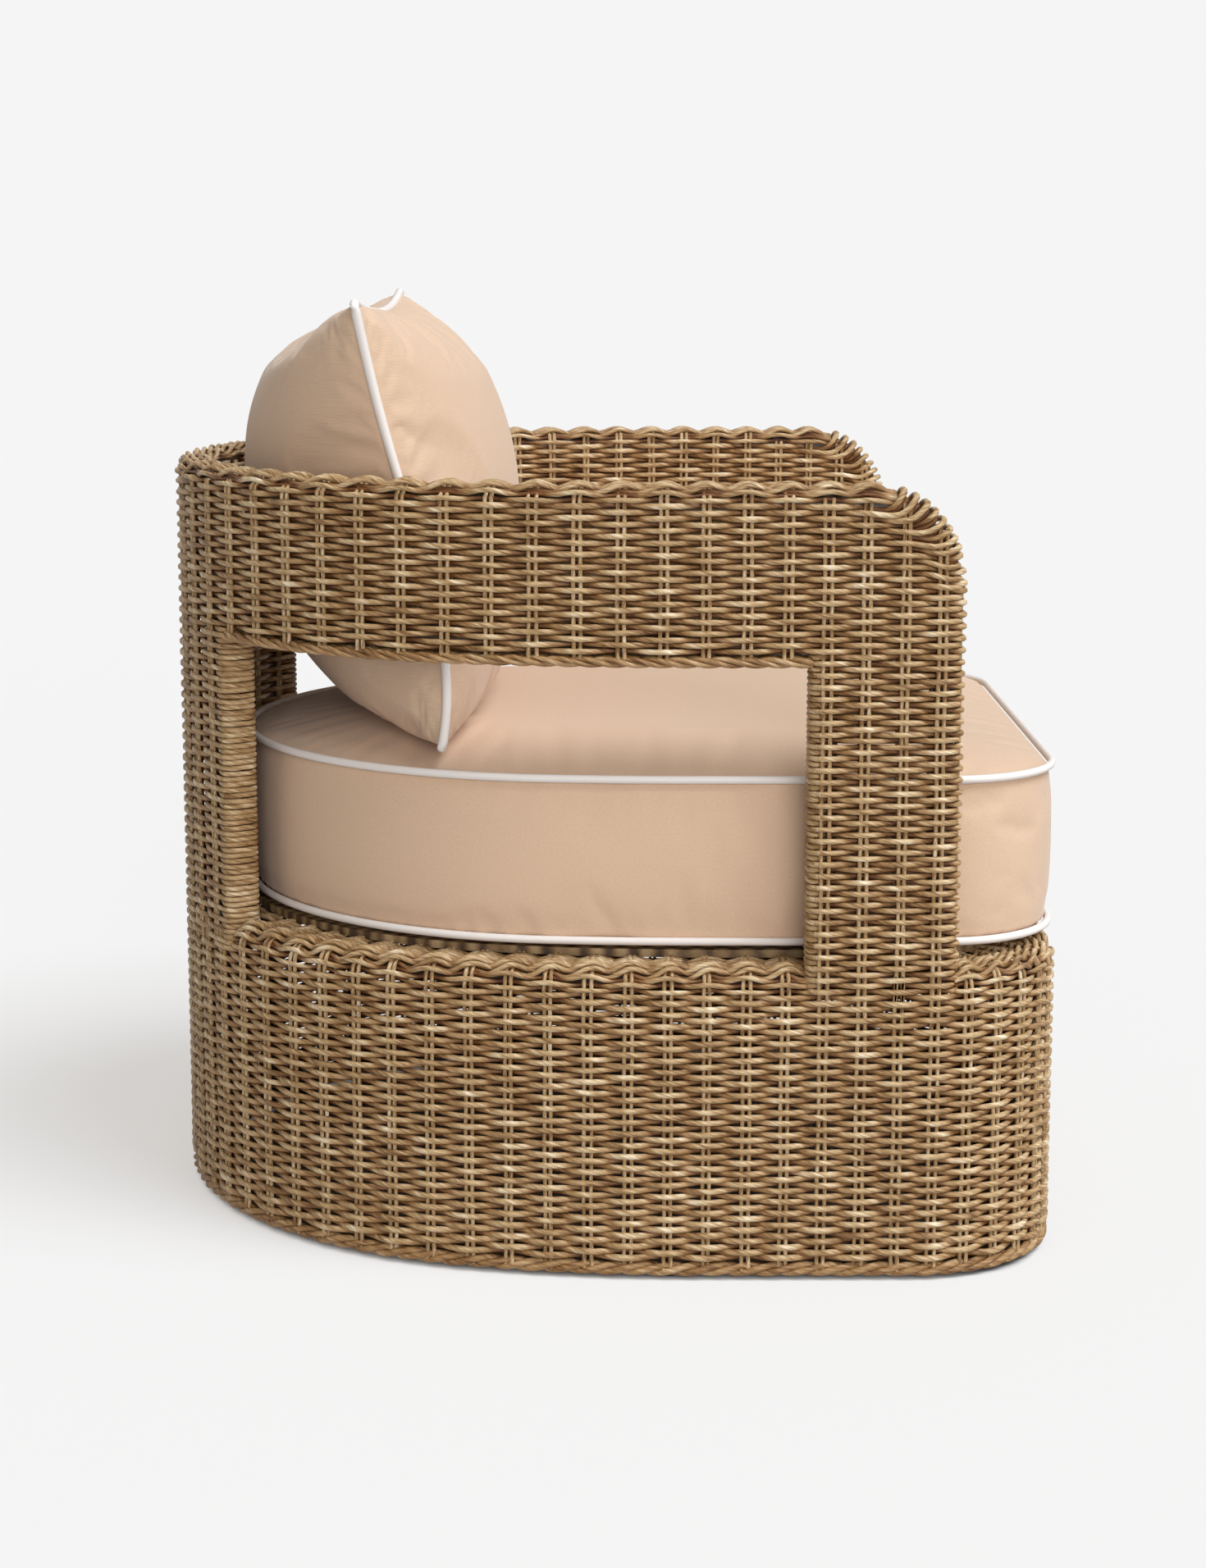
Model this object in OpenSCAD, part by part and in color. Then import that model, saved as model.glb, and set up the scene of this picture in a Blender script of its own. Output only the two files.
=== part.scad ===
// Woven barrel lounge chair with a loose seat cushion and a lumbar pillow.
// Origin: floor level, under the middle of the shell. +Z up, the front faces -Y.

/* [Shell plan] */
// Overall width of the woven shell
shell_width = 778; // [720:1:840]
// Overall depth of the woven shell
shell_depth = 816; // [770:1:880]
// Radius of the two front corners
corner_radius = 140; // [110:1:170]
// Depth of the straight stretch, measured from the front
straight_depth = 325; // [300:1:350]
// Radius of the gently bowed sides
side_radius = 850; // [780:1:950]

/* [Heights] */
// Height of the top of the base
base_height = 284; // [250:1:320]
// Height of the underside of the arm band
window_height = 545; // [510:1:580]
// Height of the top of the arm band
arm_height = 699; // [680:1:740]
// Height of the weave above the floor
floor_gap = 3; // [2:0.5:6]

/* [Woven walls] */
// Thickness of the arm band, the posts and the back wall
wall_thickness = 38; // [36:0.5:46]
// Thickness of one woven skin
skin_thickness = 7.5; // [5:0.5:7.5]
// Diameter of the rope at the foot of the base
foot_rope = 13; // [10:0.5:15]
// Width of the braided rim that turns in over the base
rim_width = 60; // [50:1:70]
// Radius of the shoulder of the braided rim
shoulder_radius = 22; // [18:0.5:26]
// Thickness of the braided rim
rim_thickness = 7; // [5:0.5:9]
// Thickness of the braid on top of the arms
cap_thickness = 11; // [8:0.5:14]
// Width of the bevels along the braids
braid_bevel = 3.5; // [2:0.5:5]
// Height of the rope under the arm band
window_rope = 8; // [6:0.5:10]

/* [Stakes] */
// Distance between the stake pairs in front of the arm's end
stake_pitch = 32.4; // [28:0.1:38]
// Stake pairs of the base between the arm's end and the middle of the back
base_stakes = 23; // [18:1:26]
// Stake pairs of the band between the arm's end and the middle of the back
band_stakes = 21; // [16:1:26]
// Relief of the stake pairs over the weave between them
stake_relief = 3; // [1:0.5:3.5]

/* [Posts and back] */
// Width of each front post
post_width = 140; // [120:1:160]
// Distance from the front of the shell to the posts
post_setback = 96; // [80:1:110]
// Radius of the arm at its front end
arm_end_radius = 90; // [60:1:110]
// Width of the back wall, measured along its outside
back_width = 446; // [380:1:520]

/* [Frame] */
// Diameter of the bent tubes in the walls
tube_diameter = 20; // [16:0.5:20]
// Diameter of the tubes in the base
base_tube = 20; // [16:0.5:22]
// Thickness of the wall of every tube
tube_wall = 1.5; // [1:0.1:2.5]
// Distance from the outside of the shell to the middle of the base hoops
hoop_inset = 27; // [26:0.5:32]
// Diameter of the uprights in the base
upright_diameter = 18; // [14:0.5:20]
// Number of uprights on each side
upright_count = 4; // [3:1:6]
// Number of bars under the deck
bar_count = 4; // [3:1:6]

/* [Glides] */
// Diameter of each glide
glide_diameter = 30; // [24:1:36]
// Height of each glide
glide_height = 4; // [3.5:0.5:8]
// Number of glides on each side
glide_count = 3; // [2:1:4]

/* [Seat cushion] */
// Gap between the walls and the middles of the cushion's side piping
cushion_side_gap = 16; // [12:0.5:30]
// Distance from the front of the shell to the front piping
cushion_setback = 4; // [4:1:30]
// Distance from the back of the shell to the back piping
cushion_back_inset = 65; // [55:1:90]
// Radius of the front corners of the cushion
cushion_corner = 108; // [80:1:130]
// Radius of the bowed sides of the cushion
cushion_side_radius = 1200; // [1000:10:1400]
// Height of the boxing, between the middles of the piping
boxing_height = 144; // [110:1:170]
// Drop of the cushion below its bottom piping
cushion_drop = 8.7; // [6:0.1:12]
// Rise of the crown above the top piping
cushion_crown = 16; // [8:0.5:25]
// Bulge of the boxing
boxing_bulge = 3; // [1:0.5:6]
// Diameter of the piping
piping_diameter = 7; // [5:0.5:9]
// Thickness of the covers
cover_thickness = 2; // [1.5:0.5:3]

/* [Lumbar pillow] */
// Width of the pillow between its corners
pillow_width = 594; // [500:1:600]
// Height of the pillow between its corners
pillow_height = 394; // [340:1:430]
// Bulge of the front of the pillow
pillow_front = 108; // [80:1:130]
// Bulge of the back of the pillow
pillow_back = 156; // [100:1:165]
// Distance from the middle of the shell back to the bottom corners
pillow_setback = 142; // [120:1:150]
// Lean of the pillow, in degrees from upright
pillow_lean = 10.4; // [5:0.2:12]
// Draw-in of the sides of the pillow between its corners
pillow_side_draw = 30; // [10:1:40]
// Draw-in of the top of the pillow between its corners
pillow_top_draw = 24; // [10:1:40]

/* [Hidden] */
// Clearance between soft pieces and their neighbours
clearance = 0.3;
// Sides of the bent tubes and of the piping
tube_sides = 8;
piping_sides = 6;
// Segments of the back arc, the side arcs, the corner arcs and the arm ends
back_segments = 9;
side_segments = 2;
corner_segments = 6;
arm_end_segments = 6;
// Cells of the grids that carry the pillow's panels
pillow_columns = 14;
pillow_rows = 10;
bar_sides = 12;
// Smoothness of the glides
$fn = 16;

// A plan is [half width, y of the back, y where the sides curve, side radius, y of the front, corner radius]
half_shell = shell_width / 2;
half_depth = shell_depth / 2;
curve_start = -half_depth + straight_depth;
shell = [half_shell, half_depth, curve_start, side_radius, -half_depth, corner_radius];
cushion = [half_shell - wall_thickness - cushion_side_gap, half_depth - cushion_back_inset, curve_start,
           cushion_side_radius, -half_depth + cushion_setback, cushion_corner];

// Radius and centre of the back arc that meets both side arcs smoothly
function back_reach(plan) = plan[1] - plan[2];
function back_radius(plan) =
    (plan[3] ^ 2 - (plan[3] - plan[0]) ^ 2 - back_reach(plan) ^ 2) / (2 * (plan[3] - back_reach(plan)));
function back_centre(plan) = plan[1] - back_radius(plan);
function join_angle(plan) = atan2(back_centre(plan) - plan[2], plan[3] - plan[0]);

// Lengths of the half outline's stretches, from the middle of the back to the middle of the front
function arc_length(radius, angle) = radius * angle * PI / 180;
function stretches(plan) = [
    arc_length(back_radius(plan), 90 - join_angle(plan)),
    arc_length(plan[3], join_angle(plan)),
    plan[2] - plan[4] - plan[5],
    arc_length(plan[5], 90),
    plan[0] - plan[5]
];
function sum_to(list, count) = count == 0 ? 0 : list[count - 1] + sum_to(list, count - 1);
function half_length(plan) = sum_to(stretches(plan), 5);

// Point on an arc, and point of the right half outline at a run s, moved inwards by inset
function on_arc(x, y, radius, angle) = [x + radius * cos(angle), y + radius * sin(angle)];
function right_point(plan, s, inset) =
    let (run = stretches(plan),
         a = sum_to(run, 1), b = sum_to(run, 2), c = sum_to(run, 3), d = sum_to(run, 4))
    s <= a ? on_arc(0, back_centre(plan), back_radius(plan) - inset,
                    90 - s / back_radius(plan) * 180 / PI)
    : s <= b ? on_arc(plan[0] - plan[3], plan[2], plan[3] - inset,
                      join_angle(plan) - (s - a) / plan[3] * 180 / PI)
    : s <= c ? [plan[0] - inset, plan[2] - (s - b)]
    : s <= d ? on_arc(plan[0] - plan[5], plan[4] + plan[5], plan[5] - inset,
                      -(s - c) / plan[5] * 180 / PI)
    : [plan[0] - plan[5] - (s - d), plan[4] + inset];
function at(plan, s, inset) =
    let (point = right_point(plan, abs(s), inset)) [s < 0 ? -point[0] : point[0], point[1]];
function at3(plan, s, inset, z) = concat(at(plan, s, inset), z);

// Runs at which the outline has its points
function half_stations(plan) =
    let (run = stretches(plan))
    concat([for (i = [1 : back_segments]) run[0] * i / back_segments],
           [for (i = [1 : side_segments]) run[0] + run[1] * i / side_segments],
           [sum_to(run, 3)],
           [for (i = [1 : corner_segments]) sum_to(run, 3) + run[3] * i / corner_segments]);
function reversed(list) = [for (i = [len(list) - 1 : -1 : 0]) list[i]];
function loop_stations(plan) =
    let (half = half_stations(plan)) concat([0], half, [for (s = reversed(half)) -s]);
function between(list, start, end) = [for (s = list) if (s > start + 1 && s < end - 1) s];
function run_stations(plan, start, end) =
    let (half = half_stations(plan), all = concat([for (s = reversed(half)) -s], [0], half))
    concat([start], between(all, start, end), [end]);

// Flat outlines: the whole plan, and a strip of wall between two runs and two insets
function outline(plan, inset) = [for (s = loop_stations(plan)) at(plan, s, inset)];
function strip(plan, start, end, outer, inner) =
    let (run = run_stations(plan, start, end))
    concat([for (s = run) at(plan, s, outer)], [for (s = reversed(run)) at(plan, s, inner)]);

// Run from the middle of the back at which the side of a plan reaches a given y
function run_at_y(plan, y) =
    let (run = stretches(plan), corner_y = plan[4] + plan[5])
    y >= corner_y ? sum_to(run, 2) + plan[2] - y
    : sum_to(run, 3) + arc_length(plan[5], asin((corner_y - y) / plan[5]));
// Half width of a plan at a given y behind its front corners
function half_width_at(plan, y, inset) =
    let (middle = back_centre(plan), radius = back_radius(plan) - inset)
    y > middle + radius * sin(join_angle(plan)) ? sqrt(radius ^ 2 - (y - middle) ^ 2)
    : y > plan[2] ? plan[0] - plan[3] + sqrt((plan[3] - inset) ^ 2 - (y - plan[2]) ^ 2)
    : plan[0] - inset;

// Solid whose skin joins a list of rings of points, with flat ends or closed on itself
function between_rings(rings, sides, closed) = [
    for (i = [0 : rings - (closed ? 1 : 2)], j = [0 : sides - 1])
    let (a = i * sides + j, b = i * sides + (j + 1) % sides,
         c = (i + 1) % rings * sides + (j + 1) % sides, d = (i + 1) % rings * sides + j)
    each [[a, c, b], [a, d, c]]
];
module loft(rings, closed = false) {
    sides = len(rings[0]);
    last = (len(rings) - 1) * sides;
    ends = closed ? [] : [[for (j = [0 : sides - 1]) j], [for (j = [sides - 1 : -1 : 0]) last + j]];
    polyhedron([for (ring = rings) each ring], concat(between_rings(len(rings), sides, closed), ends));
}

// Hollow tube: an outer and an inner list of rings, joined by a collar at each end
module pipe(outer, inner) {
    sides = len(outer[0]);
    count = len(outer) * sides;
    last = count - sides;
    skin = between_rings(len(outer), sides, false);
    collars = [
        for (j = [0 : sides - 1])
        let (k = (j + 1) % sides)
        each [[j, k, count + k], [j, count + k, count + j],
              [last + k, last + j, count + last + j], [last + k, count + last + j, count + last + k]]
    ];
    lining = [for (face = skin) [count + face[0], count + face[2], count + face[1]]];
    polyhedron([for (ring = concat(outer, inner)) each ring], concat(skin, lining, collars));
}

// Ring of a tube in the wall: run, height and tilt of its plane, inset of its middle
function tube_ring(plan, s, z, tilt, inset, radius, sides) = [
    for (i = [0 : sides - 1])
    let (angle = (i + 0.5) * 360 / sides, reach = radius / cos(180 / sides))
    at3(plan, s + reach * cos(angle) * cos(tilt), inset + reach * sin(angle),
        z + reach * cos(angle) * sin(tilt))
];
module bent_tube(path, inset, diameter) {
    pipe([for (p = path) tube_ring(shell, p[0], p[1], p[2], inset, diameter / 2, tube_sides)],
         [for (p = path) tube_ring(shell, p[0], p[1], p[2], inset, diameter / 2 - tube_wall, tube_sides)]);
}
module straight_tube(diameter, length) {
    difference() {
        cylinder(d = diameter, h = length, $fn = bar_sides);
        translate([0, 0, -1]) cylinder(d = diameter - 2 * tube_wall, h = length + 2, $fn = bar_sides);
    }
}
module upright(s, inset, diameter, from, to) {
    translate(at3(shell, s, inset, from)) straight_tube(diameter, to - from);
}

// Places along the wall
half_wall = wall_thickness / 2;
post_front = run_at_y(shell, -half_depth + post_setback);
post_rear = post_front - post_width;
back_edge = back_width / 2;
arm_end_run = post_front - arm_end_radius;
arm_end_z = arm_height - arm_end_radius;
arm_core = arm_end_radius - cap_thickness;
band_top = arm_height - cap_thickness;
band_bottom = window_height + window_rope;
weave_bottom = floor_gap + foot_rope;
shoulder_z = base_height - shoulder_radius;

// Runs of the stake pairs, from the middle of the back forwards: a little wider apart behind the arm's end
function stakes_behind(count) =
    let (widening = (arm_end_run - stake_pitch * count) / count ^ 2)
    [for (n = [count : -1 : 0]) arm_end_run - stake_pitch * n - widening * n ^ 2];
function stakes_ahead(end) =
    let (count = round((end - arm_end_run) / stake_pitch))
    [for (n = [1 : count]) arm_end_run + (end - arm_end_run) * n / count];
// Stake pairs stand on the outline, with a valley halfway between two pairs: [run, relief] of each
function ribs(stakes) = [
    for (i = [0 : len(stakes) - 1])
    each i == len(stakes) - 1 ? [[stakes[i], 0]]
        : [[stakes[i], 0], [(stakes[i] + stakes[i + 1]) / 2, stake_relief]]
];
function both_halves(half) =
    concat([for (i = [len(half) - 1 : -1 : 1]) [-half[i][0], half[i][1]]], half);
// Stakes and valleys are left out where they come this close to the end of a run
rib_margin = 4;
function ribs_between(all, start, end) =
    concat([[start, 0]],
           [for (rib = all) if (rib[0] > start + rib_margin && rib[0] < end - rib_margin) rib],
           [[end, 0]]);
base_half_ribs = ribs(concat(stakes_behind(base_stakes), stakes_ahead(half_length(shell))));
// The middle of the front is in both halves, so it is dropped from one
base_ribs = [for (i = [1 : 2 * len(base_half_ribs) - 2]) both_halves(base_half_ribs)[i]];
band_ribs = both_halves(ribs(stakes_behind(band_stakes)));
wall_ribs = both_halves(ribs(concat(stakes_behind(band_stakes), stakes_ahead(post_front))));

// Places of the tubes
tube_radius = tube_diameter / 2;
front_tube_run = arm_end_run + arm_core - tube_radius;
rear_tube_run = post_rear + skin_thickness + tube_radius;
back_tube_run = back_edge - skin_thickness
    - (tube_radius + clearance) * back_radius(shell) / (back_radius(shell) - half_wall);
arm_tube_z = band_top - tube_radius;
window_tube_z = band_bottom + tube_radius;
seat_hoop_top = base_height - rim_thickness;
seat_hoop_z = seat_hoop_top - base_tube / 2;
floor_hoop_z = glide_height + base_tube / 2;
weld_gap = 0.5;
bar_gap = 2;
bar_pitch = (shell_depth - 2 * rim_width) / (bar_count + 1);

// Heights of the seat cushion
cushion_base = base_height + clearance;
low_piping_z = cushion_base + cushion_drop;
top_piping_z = low_piping_z + boxing_height;
piping_radius = piping_diameter / 2;
seam_inset = piping_radius + clearance;
cushion_middle = [0, (cushion[1] + cushion[4]) / 2];
crown_power = 14;
drop_power = 14;

wicker = [0.60, 0.49, 0.36];
dark_wicker = [0.50, 0.40, 0.29];
canvas = [0.83, 0.72, 0.60];
trim = [0.93, 0.89, 0.86];
metal = [0.36, 0.29, 0.22];
foam = [0.93, 0.91, 0.82];
nylon = [0.20, 0.17, 0.14];

// Frame: bent and straight aluminium tubes

function hoop_path(z) =
    let (end = half_length(shell) - weld_gap / 2) [for (s = run_stations(shell, -end, end)) [s, z, 90]];

module floor_hoop() {
    color(metal) bent_tube(hoop_path(floor_hoop_z), hoop_inset, base_tube);
}

module seat_hoop() {
    color(metal) bent_tube(hoop_path(seat_hoop_z), hoop_inset, base_tube);
}

module base_uprights() {
    color(metal)
        for (side = [-1, 1], i = [1 : upright_count])
            upright(side * half_length(shell) * (i - 0.5) / upright_count, hoop_inset, upright_diameter,
                    floor_hoop_z + base_tube / 2, seat_hoop_z - base_tube / 2);
}

module deck_bars() {
    color(metal)
        for (i = [1 : bar_count]) {
            y = -half_depth + rim_width + bar_pitch * i;
            reach = half_width_at(shell, y + base_tube / 2, hoop_inset + base_tube / 2) - bar_gap;
            translate([-reach, y, seat_hoop_z])
                rotate([0, 90, 0]) straight_tube(base_tube, 2 * reach);
        }
}

// Tube that rises in each post, bends over the front of the arm and follows the wall
function arch_path(run, bend, height) =
    let (right = concat([[run, seat_hoop_top, 0]],
                        [for (i = [0 : arm_end_segments])
                         let (tilt = 90 * i / arm_end_segments)
                         [run - bend + bend * cos(tilt), height - bend + bend * sin(tilt), tilt]]),
         level = run_stations(shell, bend - run, run - bend))
    concat([for (p = right) [-p[0], p[1], 180 - p[2]]],
           [for (i = [1 : len(level) - 2]) [level[i], height, 90]],
           reversed(right));

module arm_tube() {
    color(metal)
        bent_tube(arch_path(front_tube_run, arm_core - tube_radius, arm_tube_z), half_wall, tube_diameter);
}

// Level tube along the bottom of the arm band, over the uprights of the posts and the back wall
module window_tube() {
    end = rear_tube_run + tube_radius;
    path = [for (s = run_stations(shell, -end, end)) [s, window_tube_z, 90]];
    color(metal) bent_tube(path, half_wall, tube_diameter);
}

module wall_uprights() {
    color(metal)
        for (s = [rear_tube_run, back_tube_run], side = [-1, 1])
            upright(side * s, half_wall, tube_diameter, seat_hoop_top, band_bottom);
}

module seat_deck() {
    color(dark_wicker)
        translate([0, 0, seat_hoop_top])
            linear_extrude(rim_thickness) polygon(outline(shell, rim_width + clearance));
}

module glides() {
    for (i = [1 : glide_count])
        translate(at3(shell, half_length(shell) * (i - 0.5) / glide_count, hoop_inset, 0)) {
            cylinder(d1 = glide_diameter - 3, d2 = glide_diameter, h = glide_height / 3);
            translate([0, 0, glide_height / 3]) cylinder(d = glide_diameter, h = glide_height * 2 / 3);
        }
}
module glides_right() {
    color(nylon) glides();
}
module glides_left() {
    color(nylon) mirror([1, 0, 0]) glides();
}

// Woven shell

module around(section) {
    loft([for (s = loop_stations(shell)) [for (p = section) at3(shell, s, p[0], p[1])]], true);
}
module wall_run(start, end, outer, inner, from, to) {
    translate([0, 0, from])
        linear_extrude(to - from) polygon(strip(shell, start, end, outer, inner));
}

module foot_rope_border() {
    radius = foot_rope / 2;
    section = [for (i = [0 : tube_sides - 1])
               let (angle = -(i + 0.5) * 360 / tube_sides, reach = radius / cos(180 / tube_sides))
               [radius + reach * cos(angle), floor_gap + radius + reach * sin(angle)]];
    color(dark_wicker) around(section);
}

module base_weave() {
    color(wicker)
        translate([0, 0, weave_bottom])
            linear_extrude(shoulder_z - weave_bottom)
                difference() {
                    polygon([for (rib = base_ribs) at(shell, rib[0], rib[1])]);
                    polygon(outline(shell, skin_thickness));
                }
}

// The braided rim rounds over the shoulder; posts, back wall and tubes pass through it
rim_angles = [0, 30, 60, 90];
rim_under_angles = [0, 45, 90];
function rim_section(relief) =
    let (over = shoulder_radius - relief, under = shoulder_radius - rim_thickness)
    concat([for (angle = rim_angles)
            [shoulder_radius - over * cos(angle), shoulder_z + over * sin(angle)]],
           [[rim_width, base_height], [rim_width, seat_hoop_top]],
           [for (angle = rim_under_angles)
            [shoulder_radius - under * sin(angle), shoulder_z + under * cos(angle)]]);
// Stretches of wall that stand on the base: the back wall and the two posts
footings = [[-back_edge, back_edge], [post_rear, post_front], [-post_front, -post_rear]];
function on_footing(s) =
    len([for (run = footings) if (s > run[0] - 2 * rib_margin && s < run[1] + 2 * rib_margin) s]) > 0;
function rim_stations() =
    let (free = [for (rib = base_ribs) if (!on_footing(rib[0])) rib],
         walled = [for (run = footings)
                   each [for (s = run_stations(shell, run[0] - rib_margin, run[1] + rib_margin)) [s, 0]]])
    sorted(concat(free, walled));
function sorted(list) =
    len(list) < 2 ? list
    : let (middle = list[floor(len(list) / 2)][0])
      concat(sorted([for (p = list) if (p[0] < middle) p]), [for (p = list) if (p[0] == middle) p],
             sorted([for (p = list) if (p[0] > middle) p]));
module base_rim_braid() {
    color(dark_wicker)
        difference() {
            loft([for (rib = rim_stations()) [for (p = rim_section(rib[1])) at3(shell, rib[0], p[0], p[1])]],
                 true);
            for (run = footings)
                wall_run(run[0], run[1], -1, skin_thickness, shoulder_z, base_height + 1);
            for (s = [front_tube_run, rear_tube_run, back_tube_run], side = [-1, 1])
                translate(at3(shell, side * s, half_wall, shoulder_z))
                    cylinder(r = tube_radius / cos(180 / tube_sides) + clearance, h = shoulder_radius + 1);
        }
}

// Sleeve of weave round a stretch of wall, with bevelled edges, and its skirt down the shoulder
function ribbed_strip(start, end, level_start, level_end) =
    let (level = ribs_between(wall_ribs, level_start, level_end), inner_edge = wall_thickness - braid_bevel)
    concat([at(shell, start, inner_edge), at(shell, start, braid_bevel)],
           [for (rib = level) at(shell, rib[0], rib[1])],
           [at(shell, end, braid_bevel), at(shell, end, inner_edge)],
           [for (rib = reversed(level)) at(shell, rib[0], wall_thickness - rib[1])]);
module sleeve(start, end, start_skin, end_skin) {
    ribbed_skirt = concat([for (rib = ribs_between(wall_ribs, start, end)) at(shell, rib[0], rib[1])],
                          [for (s = reversed(run_stations(shell, start, end))) at(shell, s, skin_thickness)]);
    color(wicker) {
        translate([0, 0, base_height])
            linear_extrude(band_bottom - base_height)
                difference() {
                    polygon(ribbed_strip(start, end, start + braid_bevel, end - braid_bevel));
                    polygon(strip(shell, start + start_skin, end - end_skin,
                                  skin_thickness, wall_thickness - skin_thickness));
                }
        translate([0, 0, shoulder_z]) linear_extrude(base_height - shoulder_z) polygon(ribbed_skirt);
    }
}
module post_weave_right() {
    sleeve(post_rear, post_front, skin_thickness, cap_thickness);
}
module post_weave_left() {
    mirror([1, 0, 0]) post_weave_right();
}
module back_wall_weave() {
    sleeve(-back_edge, back_edge, skin_thickness, skin_thickness);
}

// Braid section: a flat strip as wide as the wall, bevelled along its outer edges
function braid_section(thickness) = [
    [0, 0], [0, thickness - braid_bevel], [braid_bevel, thickness],
    [wall_thickness - braid_bevel, thickness], [wall_thickness, thickness - braid_bevel],
    [wall_thickness, 0]
];
module window_rope_right() {
    color(dark_wicker)
        loft([for (s = run_stations(shell, back_edge, post_rear))
              [for (p = reversed(braid_section(window_rope))) at3(shell, s, p[0], band_bottom - p[1])]]);
}
module window_rope_left() {
    mirror([1, 0, 0]) window_rope_right();
}

// Height of the woven band at a run: level, then falling in an arc to the end of the arm
function band_height(s) =
    abs(s) <= arm_end_run ? band_top
    : arm_end_z + sqrt(max(0, arm_core ^ 2 - (abs(s) - arm_end_run) ^ 2));
function band_ends() =
    [for (i = [1 : arm_end_segments]) [arm_end_run + arm_core * sin(90 * i / arm_end_segments), 0]];
function band_stations(level) =
    concat([for (p = reversed(band_ends())) [-p[0], 0]], level, band_ends());
module band_skin(stations, outer, inner) {
    loft([for (p = stations)
          [at3(shell, p[0], outer + p[1], band_bottom), at3(shell, p[0], outer + p[1], band_height(p[0])),
           at3(shell, p[0], inner, band_height(p[0])), at3(shell, p[0], inner, band_bottom)]]);
}
module band_outer_weave() {
    color(wicker) band_skin(band_stations(band_ribs), 0, skin_thickness);
}
module band_inner_weave() {
    level = [for (s = run_stations(shell, -arm_end_run, arm_end_run)) [s, 0]];
    color(wicker) band_skin(band_stations(level), wall_thickness - skin_thickness, wall_thickness);
}

module arm_top_braid() {
    color(dark_wicker)
        loft([for (s = run_stations(shell, -arm_end_run, arm_end_run))
              [for (p = braid_section(cap_thickness)) at3(shell, s, p[0], band_top + p[1])]]);
}

module arm_end_wrap_right() {
    section = braid_section(cap_thickness);
    foot = [for (p = section) at3(shell, arm_end_run + arm_core + p[1], p[0], band_bottom)];
    rings = [for (i = [0 : arm_end_segments])
             let (bend = 90 * i / arm_end_segments)
             [for (p = section)
              at3(shell, arm_end_run + (arm_core + p[1]) * cos(bend), p[0],
                  arm_end_z + (arm_core + p[1]) * sin(bend))]];
    color(dark_wicker) loft(reversed(concat([foot], rings)));
}
module arm_end_wrap_left() {
    mirror([1, 0, 0]) arm_end_wrap_right();
}

// Seat cushion. A level is [inset from the piping line, share of the way out from the middle, height].

function cushion_ring(level) = [
    for (s = loop_stations(cushion))
    concat(cushion_middle + (at(cushion, s, level[0]) - cushion_middle) * level[1], level[2])
];
// Closed solid from rings that start and end at a point in the middle
module capped(levels) {
    rings = [for (level = levels) cushion_ring(level)];
    sides = len(rings[0]);
    count = len(rings) * sides;
    last = count - sides;
    bottom = concat(cushion_middle, levels[0][2]);
    top = concat(cushion_middle, levels[len(levels) - 1][2]);
    fans = [for (j = [0 : sides - 1])
            let (k = (j + 1) % sides) each [[k, j, count], [last + j, last + k, count + 1]]];
    polyhedron([for (ring = concat(rings, [[bottom, top]])) each ring],
               concat([for (face = between_rings(len(rings), sides, false)) reversed(face)], fans));
}
shares = [1, 0.97, 0.92, 0.84, 0.7, 0.4];
function crown(share) = top_piping_z + cushion_crown * (1 - share ^ crown_power);
function belly(share) = cushion_base + cushion_drop * share ^ drop_power;

module seat_cover_top() {
    color(canvas)
        capped(concat([for (share = reversed(shares)) [seam_inset, share, crown(share) - cover_thickness]],
                      [for (share = shares) [seam_inset, share, crown(share)]]));
}
module seat_cover_bottom() {
    low_shares = [for (i = [0 : 4]) shares[i]];
    color(canvas)
        capped(concat([for (share = reversed(low_shares)) [seam_inset, share, belly(share)]],
                      [for (share = low_shares) [seam_inset, share, belly(share) + cover_thickness]]));
}
module seat_boxing() {
    steps = 4;
    height = boxing_height - 2 * seam_inset;
    outside = [for (i = [0 : steps])
               [-boxing_bulge * sin(180 * i / steps), low_piping_z + seam_inset + height * i / steps]];
    section = concat(outside, [for (p = reversed(outside)) [p[0] + cover_thickness, p[1]]]);
    color(canvas)
        loft([for (s = loop_stations(cushion)) [for (p = section) at3(cushion, s, p[0], p[1])]], true);
}
module piping_loop(z) {
    section = [for (i = [0 : piping_sides - 1])
               let (angle = -i * 360 / piping_sides)
               [piping_radius * cos(angle), z + piping_radius * sin(angle)]];
    color(trim)
        loft([for (s = loop_stations(cushion)) [for (p = section) at3(cushion, s, p[0], p[1])]], true);
}
module seat_piping_top() {
    piping_loop(top_piping_z);
}
module seat_piping_bottom() {
    piping_loop(low_piping_z);
}
module seat_foam() {
    lining = cover_thickness + clearance;
    inset = seam_inset + lining;
    color(foam)
        capped(concat([for (share = [0.9, 1]) [inset, share, belly(share) + lining]],
                      [for (share = [1, 0.92, 0.7]) [inset, share, crown(share) - lining]]));
}

// Lumbar pillow. Its own frame has x across, y up the lean and z towards the front.

function drawn(across, up) = [
    across * (pillow_width / 2 - pillow_side_draw * (1 - up ^ 2)),
    up * pillow_height / 2 - pillow_top_draw * (1 + up) / 2 * (1 - across ^ 2)
];
fullness = 0.55;
function swell(across, up) = max(0, (1 - across ^ 2) * (1 - up ^ 2)) ^ fullness;
// Places across and up, closer together towards the seams
function eased(i, count) = sin(-90 + 180 * i / count);
function pillow_point(across, up, seam_share, bulge, lift) =
    let (place = drawn(across, up) * seam_share) [place[0], place[1], bulge * swell(across, up) + lift];

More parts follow.
